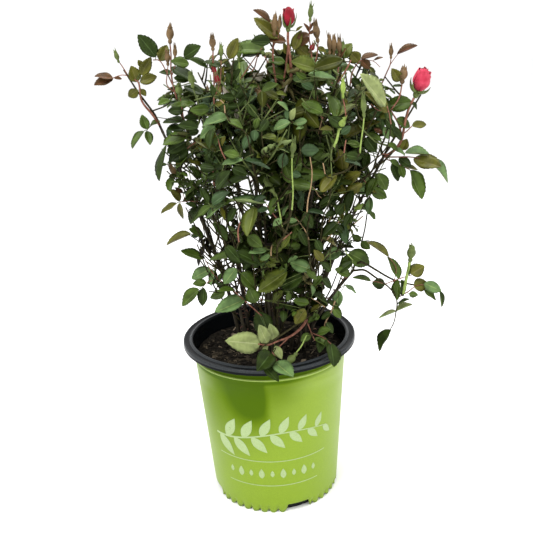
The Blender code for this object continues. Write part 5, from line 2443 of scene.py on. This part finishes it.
OVER_RIM = Spray(-104, -142, (
    Stalk(((274, 349), (271, 353), (266, 360), (264, 366)), 0.5, 0.3, Wood.DARK),
    Stalk(((272, 352), (276, 358), (277, 362)), 0.5, 0.4)), leaves(
    DEEP=((271, 353, 257, 371, 18), (264, 366, 279, 381, 12)),
    FRESH=((275, 362, 293, 376, 14),)))
RIGHT_RIM = Spray(-64, -92, (
    Stalk(((322, 336), (328, 341), (331, 344)), 0.6, 0.5),), leaves(
    DEEP=((331, 343, 336, 365, 13), (325, 337, 319, 352, 10))))
RIGHT_CORNER = Spray(-26, -52, (
    Stalk(((352, 184), (362, 179), (372, 171), (377, 157), (383, 142), (388, 128)), 1.5, 0.9, Wood.DARK),
    Stalk(((373, 169), (384, 161), (392, 153)), 1.6, 1.2, Wood.DARK),
    Stalk(((377, 157), (383, 154), (391, 155))),
    Stalk(((368, 176), (378, 171), (386, 168)), 1, 0.6, Wood.DARK),
    Stalk(((364, 180), (369, 188), (370, 197)))), leaves(
    OLIVE=((343, 138, 379, 118, 14), (366, 182, 381, 192, 9)),
    DEEP=((386, 108, 374, 97, 9), (368, 152, 364, 170, 10), (360, 152, 370, 162, 8),
          (390, 112, 368, 98, 14), (386, 118, 395, 131, 10), (392, 129, 402, 140, 8),
          (366, 138, 376, 152, 13), (362, 150, 346, 163, 12)),
    BRONZE=((374, 129, 383, 133, 5),),
    FRESH=((384, 127, 389, 139, 7), (394, 149, 406, 154, 6), (369, 188, 356, 193, 9),
           (370, 197, 368, 214, 10)),
    MID=((366, 134, 382, 141, 8), (388, 143, 398, 150, 6), (390, 160, 400, 168, 7),
         (375, 174, 388, 185, 12), (371, 188, 387, 198, 14), (369, 211, 376, 219, 4))), heads(
    LIME_BUD=((364, 204, 355, 209, 7),)))
LEFT_EDGE = Spray(-20, -52, (
    Stalk(((206, 152), (196, 142), (186, 137), (170, 135)), 1.1, 0.6, Wood.DARK),
    Stalk(((200, 118), (190, 112), (182, 110)), 0.9, 0.5, Wood.DARK),
    Stalk(((192, 124), (180, 121), (168, 119), (156, 117)), 0.6, 0.4, Wood.DARK),
    Stalk(((196, 142), (188, 148), (186, 155)))), leaves(
    DEEP=((200, 179, 189, 167, 8), (199, 122, 187, 128, 8), (200, 118, 184, 117, 9),
          (199, 131, 186, 133, 9), (184, 110, 168, 111, 10), (186, 121, 163, 123, 8), (184, 129, 167, 129, 8),
          (186, 142, 167, 153, 14), (188, 147, 169, 161, 15), (200, 186, 186, 200, 7),
          (214, 204, 189, 221, 9), (196, 207, 186, 203, 6)),
    MID=((206, 168, 204, 183, 8), (195, 103, 171, 105, 9), (189, 135, 162, 143, 13), (187, 155, 175, 167, 8),
         (232, 201, 206, 212, 10)),
    OLIVE=((186, 160, 197, 164, 4), (194, 161, 205, 170, 5)),
    FRESH=((211, 152, 196, 154, 5),)))
DEAD_TWIG = Spray(-32, -44, (
    Stalk(((222, 262), (217, 250), (210, 242), (205, 236)), 0.7, 0.4, Wood.DARK),
    Stalk(((205, 236), (203, 226), (204, 218)), 0.6, 0.5, Wood.DARK),
    Stalk(((205, 238), (202, 248), (200, 262)), 0.6, 0.4, Wood.DARK)), leaves(
    WITHERED=((205, 236, 197, 242, 4), (206, 239, 201, 246, 4), (206, 238, 208, 252, 4),
              (208, 245, 210, 257, 4), (204, 246, 200, 256, 5), (202, 255, 197, 266, 5))))
LEFT_CANES = Spray(-34, -50, (
    Stalk(((230, 272), (221, 246), (216, 230), (212, 214)), 1.3, 0.9, Wood.DARK),
    Stalk(((236, 272), (226, 244), (220, 224), (214, 206)), 1.2, 0.8, Wood.DARK),
    Stalk(((241, 268), (233, 240), (226, 216), (221, 196)), 1.4, 0.9, Wood.DARK),
    Stalk(((247, 268), (242, 243), (237, 218), (233, 196)), 1.3, 0.8, Wood.DARK),
    Stalk(((252, 270), (247, 240), (243, 212), (238, 190)), 1.2, 0.8, Wood.DARK),
    Stalk(((244, 262), (231, 232), (222, 212)), 1, 0.7, Wood.DARK),
    Stalk(((214, 186), (213, 172), (214, 158)), 1.3, 1),
    Stalk(((232, 160), (224, 148), (218, 134)), 1, 0.8),
    Stalk(((226, 198), (215, 180), (206, 162)), 0.9, 0.6, Wood.DARK)))
RIGHT_CANES = Spray(-36, -52, (
    Stalk(((300, 296), (312, 258), (328, 222), (351, 185)), 1.4, 0.9, Wood.DARK),
    Stalk(((306, 288), (322, 248), (338, 212), (353, 187)), 1.2, 0.8, Wood.DARK),
    Stalk(((292, 290), (302, 248), (314, 208), (324, 176)), 1.3, 0.9, Wood.DARK),
    Stalk(((286, 284), (291, 240), (297, 196), (306, 164)), 1.1, 0.7, Wood.DARK),
    Stalk(((280, 290), (277, 252), (272, 216), (270, 186)), 1.2, 0.8, Wood.DARK),
    Stalk(((268, 292), (264, 256), (258, 222), (256, 196)), 1.2, 0.7, Wood.DARK),
    Stalk(((312, 276), (326, 254), (336, 236), (348, 214)), 1, 0.6, Wood.DARK)))
LIME_BUDS = Spray(-106, -124, (
    Stalk(((332, 178), (331, 157), (333, 145)), 0.7, 0.7, Wood.GREEN),
    Stalk(((334, 147), (337, 139), (339, 129)), 1.5, 1.3, Wood.LIME),
    Stalk(((360, 153), (361, 142), (363, 128), (364, 118)), 0.9, 0.7, Wood.LIME),
    Stalk(((346, 118), (345, 108), (343, 99)), 0.7, 0.6),
    Stalk(((292, 210), (293, 192), (292, 172), (292, 158)), 0.9, 0.7, Wood.LIME),
    Stalk(((307, 212), (308, 200), (311, 186), (312, 172), (310, 157)), 0.8, 0.6, Wood.DRY)), leaves(
    OLIVE=((321, 192, 336, 172, 14),),
    DEEP=((344, 126, 328, 116, 12),)), heads(
    LIME_BUD=((339, 130, 344, 118, 7), (343, 99, 343, 79, 5)),
    GREEN_BUD=((364, 118, 363, 96, 6), (292, 158, 294, 140, 6))))
TOP_FRONT = Spray(-84, -102, (
    Stalk(((316, 100), (315, 84), (314, 72)), 0.8, 0.5, Wood.DARK),), leaves(
    WARM=((315, 68, 292, 61, 14),),
    DUSK=((343, 60, 314, 68, 16),),
    FRESH=((308, 75, 336, 80, 9),),
    MID=((306, 78, 296, 72, 8),),
    DEEP=((316, 88, 302, 82, 11),),
    COOL=((301, 83, 315, 88, 8),)))
UPPER_LEFT = Spray(-116, -100, (
    Stalk(((254, 154), (250, 145), (247, 136), (243, 130)), 0.7, 0.5, Wood.DARK),
    Stalk(((226, 160), (221, 150), (218, 139)), 0.8, 0.6),
    Stalk(((225, 113), (224, 104), (220, 100)), 0.8, 0.6, Wood.DRY),
    Stalk(((282, 172), (283, 158), (287, 148)), wood=Wood.DARK),
    Stalk(((264, 152), (262, 138), (262, 122)), wood=Wood.DARK)), leaves(
    DEEP=((248, 104, 257, 118, 11), (216, 188, 230, 171, 12), (232, 168, 248, 175, 12),
          (213, 129, 208, 148, 10),
          (228, 104, 220, 112, 9), (268, 120, 260, 131, 10), (213, 97, 211, 84, 7)),
    DUSK=((216, 152, 196, 141, 9), (262, 91, 263, 107, 12), (278, 98, 265, 91, 9)),
    FRESH=((277, 102, 289, 110, 4), (290, 122, 273, 128, 8), (243, 160, 222, 165, 6),
           (275, 146, 289, 152, 3)),
    COOL=((249, 136, 243, 149, 9), (287, 109, 287, 120, 6), (255, 130, 254, 141, 9), (244, 159, 271, 167, 9),
          (284, 153, 281, 169, 13)),
    WARM=((276, 137, 262, 137, 7),),
    MID=((228, 121, 243, 127, 8), (258, 118, 255, 129, 8), (239, 156, 224, 152, 9)),
    OLIVE=((225, 136, 222, 146, 6),)))
UPPER_RIGHT = Spray(-116, -98, (
    Stalk(((339, 155), (335, 140), (333, 127), (330, 116)), 0.7, 0.5, Wood.DARK),
    Stalk(((344, 153), (345, 146), (346, 140)), 0.8, 0.6),
    Stalk(((356, 106), (356, 98), (355, 91)), wood=Wood.DARK),
    Stalk(((325, 174), (324, 168), (323, 163)), 0.7, 0.6, Wood.DRY),
    Stalk(((302, 162), (300, 148), (300, 128)), wood=Wood.DARK)), leaves(
    OLIVE=((333, 130, 320, 129, 4),),
    WARM=((337, 117, 357, 102, 10),),
    MID=((335, 118, 329, 91, 16), (323, 113, 302, 102, 12), (360, 146, 348, 141, 9)),
    PALE=((291, 120, 295, 108, 8),),
    COOL=((341, 134, 351, 126, 9), (301, 150, 319, 150, 13), (345, 161, 361, 164, 5),
          (292, 173, 301, 176, 8)),
    FRESH=((307, 121, 293, 123, 8), (304, 127, 296, 129, 4)),
    DEEP=((346, 155, 362, 158, 9),)))
MIDDLE_LEFT = Spray(-106, -88, (
    Stalk(((252, 250), (251, 236), (252, 222), (254, 208)), 1, 0.7, Wood.DARK),
    Stalk(((278, 220), (271, 211), (266, 204))),
    Stalk(((226, 246), (220, 232), (212, 208)), 1, 0.7, Wood.DARK),
    Stalk(((283, 240), (287, 236), (292, 232)), 0.8, 0.6),
    Stalk(((239, 242), (238, 232), (240, 222)), 1.1, 0.8),
    Stalk(((282, 227), (280, 214), (278, 204), (277, 197)), 1, 0.9, Wood.LIME),
    Stalk(((281, 172), (285, 176), (288, 181)), 0.8, 0.6),
    Stalk(((290, 216), (290, 200), (289, 178)), 1.5, 1.2, Wood.DARK),
    Stalk(((271, 256), (271, 250), (272, 245)), 0.8, 0.6, Wood.DRY)), leaves(
    FRESH=((266, 203, 229, 200, 9), (226, 202, 204, 215, 5), (266, 250, 249, 251, 8),
           (270, 255, 260, 260, 6), (281, 219, 273, 226, 8), (287, 221, 297, 220, 6),
           (283, 216, 287, 205, 5)),
    COOL=((212, 204, 228, 191, 12), (266, 197, 250, 205, 8), (268, 208, 257, 211, 6)),
    DEEP=((213, 224, 228, 240, 10), (236, 208, 228, 222, 9), (248, 178, 221, 184, 9),
          (208, 203, 201, 187, 9), (226, 246, 240, 262, 14),
          (236, 252, 262, 262, 14)),
    MID=((210, 206, 197, 216, 9), (248, 236, 262, 247, 13), (233, 256, 209, 260, 9),
         (277, 197, 269, 214, 7)),
    WARM=((254, 207, 247, 236, 15), (290, 235, 281, 248, 9)),
    OLIVE=((221, 207, 225, 220, 5),),
    WITHERED=((243, 226, 239, 232, 3), (246, 231, 241, 236, 3), (237, 237, 239, 242, 4),
              (274, 245, 263, 244, 3))), heads(
    GREEN_BUD=((277, 197, 264, 179, 6.5),)))
MIDDLE_RIGHT = Spray(-92, -72, (
    Stalk(((310, 264), (309, 245), (307, 232), (310, 215)), 1.2, 1, Wood.DARK),
    Stalk(((309, 240), (305, 230), (295, 217)), wood=Wood.DRY),
    Stalk(((327, 240), (334, 230), (339, 221)), 0.9, 0.7, Wood.DRY),
    Stalk(((330, 252), (332, 240), (338, 224)), 0.8, 0.5, Wood.DARK),
    Stalk(((310, 186), (314, 188), (319, 196), (324, 199), (326, 196), (323, 194)), 0.5, 0.4, Wood.DRY),
    Stalk(((345, 251), (349, 256), (353, 260)), 0.6, 0.4, Wood.LIME)), leaves(
    COOL=((302, 211, 303, 193, 7), (307, 212, 326, 212, 5), (346, 221, 345, 244, 10)),
    DEEP=((339, 195, 326, 205, 9), (344, 178, 331, 186, 9), (320, 206, 334, 196, 10), (325, 216, 337, 212, 8),
          (299, 230, 307, 246, 10), (316, 240, 322, 252, 9), (336, 214, 345, 203, 10),
          (351, 214, 344, 226, 9), (353, 190, 347, 212, 11), (352, 262, 336, 272, 10),
          (331, 271, 321, 262, 8), (304, 213, 312, 228, 13), (338, 222, 322, 236, 12),
          (337, 225, 344, 233, 8)),
    OLIVE=((322, 238, 338, 245, 7), (344, 204, 341, 221, 9), (323, 261, 314, 250, 9)),
    FRESH=((298, 257, 287, 262, 7),),
    MID=((306, 270, 317, 279, 8), (350, 275, 336, 268, 8))))
LOW_RIGHT = Spray(-54, -76, (
    Stalk(((324, 330), (326, 321), (331, 312), (335, 301)), 1.1, 0.9, Wood.DRY),
    Stalk(((325, 307), (318, 302), (311, 298)), 0.6, 0.5, Wood.DRY),
    Stalk(((300, 306), (296, 298), (290, 292)), wood=Wood.DARK),
    Stalk(((318, 310), (322, 296), (322, 280)), wood=Wood.DARK)), leaves(
    DEEP=((331, 312, 321, 319, 7), (326, 322, 334, 333, 7), (337, 306, 328, 300, 6),
          (322, 279, 333, 288, 9), (313, 294, 329, 304, 8)),
    MID=((333, 309, 341, 318, 7), (316, 316, 308, 323, 6), (322, 276, 312, 286, 8),
         (288, 292, 289, 302, 5), (314, 313, 318, 320, 6)),
    FRESH=((311, 285, 313, 296, 4),),
    OLIVE=((311, 312, 322, 304, 7),),
    WARM=((283, 291, 272, 302, 8),)))
SPRAYS = (LEFT_SPRIG, LEFT_FAN, TALL_BUD, RED_BUDS, LEFT_TOP, TOP_BLOOM, YOUNG_TIPS, FADED_PETALS,
          BUD_CLUSTER, DARK_TIPS, SLIM_BUD, RIGHT_BLOOM, PALE_LEAF, RIGHT_FAN, RIGHT_ARCH, RIGHT_TWIGS,
          HOOKED_BUD, LEFT_WHORL, LEFT_LOW, FRONT_LOW, RIM_SPRAY, OVER_RIM, RIGHT_RIM, RIGHT_CORNER,
          LEFT_EDGE, DEAD_TWIG, LEFT_CANES, RIGHT_CANES, LIME_BUDS, TOP_FRONT, UPPER_LEFT, UPPER_RIGHT,
          MIDDLE_LEFT, MIDDLE_RIGHT, LOW_RIGHT)


@dataclass
class SprayMaker:
    """Makes the placed sprays, and joins each to the wood that carries it.

    Wood that lies uphill of a stem's foot, or less than a slope below it, counts as further away.
    """

    view: "Viewpoint"
    foliage: Foliage
    limbs: dict[str, Limb]
    wood: list[Path]
    rng: random.Random
    fullness: float = 0.64
    step: float = 3 * MM
    close: float = 0.5 * MM
    uphill: float = 3.0
    slope: float = 0.6
    petiole_radii: tuple[float, float] = (0.5 * MM, 0.4 * MM)

    def make(self, spray: Spray) -> None:
        """Make one spray: its stems, leaflets, buds and blooms.

        Args:
            spray: The spray.
        """

        def place(column: float, row: float, nearer: float = 0.0) -> Vector:
            """The point of a spot of this spray."""
            return self.view.point(column, row, spray.depth_at((column, row)) - nearer)

        paths = [self.make_stalk(stalk, place, spray, number == 0)
                 for number, stalk in enumerate(spray.stalks)]
        points = [point for path in paths for point in path]
        for blade in spray.blades:
            self.make_blade(blade, place, points)
        for head in spray.heads:
            self.make_head(head, place)

    def make_stalk(self, stalk: Stalk, place: Callable[..., Vector], spray: Spray, first: bool) -> Path:
        """Make one stem, joined at its foot to what carries it.

        Args:
            stalk: The stem.
            place: Gives the point of a spot of this spray.
            spray: The spray it belongs to.
            first: Whether it is the spray's main stem.

        Returns:
            Its points.
        """
        path = flowing([place(*spot) for spot in stalk.spots], self.step)
        if spray.limb and first:
            limb = self.limbs[spray.limb]
            path = flowing([limb.path[-1] - limb.tip_way() * MM, limb.path[-1], *path[2:]], self.step)
        else:
            self.join(path, stalk.start * MM)
        self.foliage.add_twig(path, stalk.start * MM, stalk.end * MM, stalk.wood)
        self.wood.append(path)
        return path

    def join(self, path: Path, radius: float) -> None:
        """Grow a twig to a stem's foot from the nearest wood, best from below.

        Args:
            path: The stem's points.
            radius: The stem's radius at its foot.
        """
        foot, way = path[0], (path[1] - path[0]).normalized()

        def cost(point: Vector) -> float:
            """How far a point is, and how ill it is placed to carry the foot."""
            gap = (point - foot).length
            return gap + self.uphill * max(0.0, point.z - foot.z + self.slope * gap)

        start = min((point for line in self.wood for point in line), key=cost)
        gap = (foot - start).length
        if gap > self.close:
            twig = flowing([start, start.lerp(foot - way * gap * 0.35, 0.6), foot], 4 * MM)
            self.foliage.add_twig(twig, radius * 1.1, radius, Wood.DARK)
            self.wood.append(twig)

    def make_blade(self, blade: Blade, place: Callable[..., Vector], stems: Path) -> None:
        """Make one leaflet, turned so that it looks as wide as it should, on a stalk of its own.

        Args:
            blade: The leaflet.
            place: Gives the point of a spot of this spray.
            stems: The points of the spray's stems.
        """
        rng = self.rng
        base = place(blade.base_column, blade.base_row)
        span = math.dist((blade.base_column, blade.base_row), (blade.tip_column, blade.tip_row))
        tip = place(blade.tip_column, blade.tip_row, rng.uniform(-0.3, 0.5) * span)
        along = tip - base
        seen = blade.width / span * (place(blade.tip_column, blade.tip_row) - base).length
        turn = math.acos(min(1.0, seen / (self.fullness * along.length)))
        to_view = (self.view.place - base).normalized()
        facing = (to_view - along.normalized() * to_view.dot(along.normalized())).normalized()
        side = along.normalized().cross(facing)
        facing = facing * math.cos(turn) + side * math.sin(turn) * (1 if side.z > 0 else -1)
        width = max(self.fullness, seen / along.length)
        self.foliage.add_leaflet(base, along, facing, along.length * 1.02, blade.tint, rng, width, 0.3, FINE)
        stem = min(stems, key=lambda point: (point - base).length)
        if (stem - base).length > self.close:
            wood = Wood.RED if blade.tint is Tint.BRONZE else Wood.GREEN
            line = [stem, stem.lerp(base, 0.5) + UP * 0.4 * MM, base]
            self.foliage.add_twig(line, *self.petiole_radii, wood, 5)

    def make_head(self, head: Head, place: Callable[..., Vector]) -> None:
        """Make one bud or bloom.

        Args:
            head: The bud or bloom.
            place: Gives the point of a spot of this spray.
        """
        foot, tip = place(head.foot_column, head.foot_row), place(head.tip_column, head.tip_row)
        size = (tip - foot).length
        span = math.dist((head.foot_column, head.foot_row), (head.tip_column, head.tip_row))
        girth = size * head.width / span / 2
        way = (tip - foot).normalized()
        if head.kind in (HeadKind.BLOOM, HeadKind.DEEP_BLOOM):
            made = Bloom(size, girth, head.kind is HeadKind.DEEP_BLOOM)
        else:
            skins = {HeadKind.GREEN_BUD: Skin.SEPAL, HeadKind.LIME_BUD: Skin.SEPAL_LIME}
            skin = skins.get(head.kind, Skin.SEPAL_BRONZE)
            made = Bud(size, girth, skin, head.kind is HeadKind.RED_BUD)
        made.add_to(self.foliage.blossom, foot, way, self.rng)


# ---------------------------------------------------------------- camera, light and floor
@dataclass(frozen=True)
class Viewpoint:
    """The camera's place, tilt and lens, and the points it sees."""

    place: Vector = field(default_factory=lambda: millimetres(1.34, -804.4, 570.7))
    pitch: float = math.radians(17.72)
    roll: float = math.radians(-2.98)
    lens: float = 43.90
    sensor: float = 36.0
    frame: int = 533

    def turn(self) -> Matrix:
        """The turn of the camera.

        Returns:
            Its axes as columns: right, up and back.
        """
        ahead = Vector((0, math.cos(self.pitch), -math.sin(self.pitch)))
        up = Vector((0, math.sin(self.pitch), math.cos(self.pitch)))
        right = Vector((1, 0, 0))
        level, lean = math.cos(self.roll), math.sin(self.roll)
        return Matrix((right * level + up * lean, up * level - right * lean, -ahead)).transposed()

    def point(self, column: float, row: float, depth: float) -> Vector:
        """The point seen at a place of the view.

        Args:
            column: Pixels from the view's left edge.
            row: Pixels from its top edge.
            depth: The point's Y, in millimetres.

        Returns:
            The point, in metres.
        """
        scale = self.lens / self.sensor * self.frame
        middle = self.frame / 2
        ray = self.turn() @ Vector(((column - middle) / scale, (middle - row) / scale, -1))
        return self.place + ray * ((depth * MM - self.place.y) / ray.y)

    def spot(self, point: Vector) -> tuple[float, float]:
        """Where a point is seen.

        Args:
            point: The point.

        Returns:
            Its column and row.
        """
        scale = self.lens / self.sensor * self.frame
        seen = self.turn().transposed() @ (point - self.place)
        return self.frame / 2 - seen.x * scale / seen.z, self.frame / 2 + seen.y * scale / seen.z

    def build(self) -> bpy.types.Object:
        """Make the camera and set it as the scene's own.

        Returns:
            The camera.
        """
        data = bpy.data.cameras.new("camera")
        data.lens = self.lens
        data.sensor_width = self.sensor
        data.clip_start = 0.01
        camera = bpy.data.objects.new("camera", data)
        camera.matrix_world = Matrix.Translation(self.place) @ self.turn().to_4x4()
        bpy.context.scene.collection.objects.link(camera)
        bpy.context.scene.camera = camera
        return camera


@dataclass(frozen=True)
class SoftLight:
    """A soft square light: its place in millimetres, its side in metres and its power in watts."""

    name: str
    place: tuple[float, float, float]
    size: float
    power: float

    def build(self, target: Vector) -> None:
        """Hang the light so that it looks at a target.

        Args:
            target: The target.
        """
        data = bpy.data.lights.new(self.name, "AREA")
        data.size = self.size
        data.energy = self.power
        light = bpy.data.objects.new(self.name, data)
        light.location = millimetres(*self.place)
        light.rotation_euler = (light.location - target).to_track_quat("Z", "Y").to_euler()
        bpy.context.scene.collection.objects.link(light)


@dataclass
class Studio:
    """A pale floor, soft lights and a bright surround."""

    floor_size: float = 60.0
    surround: float = 1.08
    lit_height: float = 320
    lights: tuple[SoftLight, ...] = (
        SoftLight("key_light", (-700, -900, 1900), 0.8, 26),
        SoftLight("fill_light", (1300, -900, 900), 1.2, 8),
        SoftLight("top_light", (200, 300, 2000), 1.0, 24))

    def build(self) -> None:
        """Lay the floor, light the surround and hang the lights."""
        half = self.floor_size / 2
        pool = Pool()
        corners = np.array(((-half, -half, 0.0), (half, -half, 0.0), (half, half, 0.0), (-half, half, 0.0)))
        pool.add(corners, np.array(((0, 1, 2, 3),)), 0)
        floor = pool.build("floor", (FLOOR,))
        world = bpy.data.worlds.new("surround")
        world.use_nodes = True
        background = world.node_tree.nodes["Background"]
        background.inputs["Color"].default_value = (1, 1, 1, 1)
        background.inputs["Strength"].default_value = self.surround
        bpy.context.scene.world = world
        bpy.context.scene.view_settings.view_transform = "Standard"
        for light in self.lights:
            light.build(millimetres(0, 0, self.lit_height))


# ---------------------------------------------------------------- the whole
GROWTH_SEED = 100
SPRAY_SEED = 7


def main() -> None:
    """Build every part of the plant, its pot and the studio, in order."""
    logging.basicConfig(level=logging.INFO, format="%(name)s: %(message)s")
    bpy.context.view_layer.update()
    pot = Pot()
    LOG.info("pot: %s", pot.build().name)
    LOG.info("print: %s", PotPrint(pot).build().name)
    LOG.info("soil: %s", Soil(pot).build().name)
    names = sorted(name for name in frame["nodes"] if name == "trunk" or name.startswith("cane_"))
    limbs = {name: Limb.of_node(name) for name in names}
    LOG.info("limbs: %s", Limbs(list(limbs.values())).build().name)
    view = Viewpoint()
    openings = Openings(view, SPRAYS)
    masses = plan_masses()
    regions = {mass.region: Foliage(mass.region) for mass in masses}
    wood, tips = [limb.path for limb in limbs.values()], []
    for index, mass in enumerate(masses):
        limb = limbs["trunk" if mass.name == "summit" else f"cane_{mass.name}"]
        space = Space(mass, [other for other in masses if other is not mass])
        rng = random.Random(GROWTH_SEED + index)
        growth = Growth(mass, space, limb, regions[mass.region], openings, rng)
        wood += growth.grow()
        tips += growth.tips
    FarBlooms(regions["lone"]).grow(tips)
    wood += Underwood(limbs, regions, openings).grow()
    maker = SprayMaker(view, regions["lone"], limbs, wood, random.Random(SPRAY_SEED))
    for spray in SPRAYS:
        maker.make(spray)
    for name, region in regions.items():
        region.build(f"foliage_{mass.name}" for mass in masses if mass.region == name)
        LOG.info("%s: %d leaflets", name, region.leaflets)
    Studio().build()
    view.build()


if __name__ == "__main__":
    main()
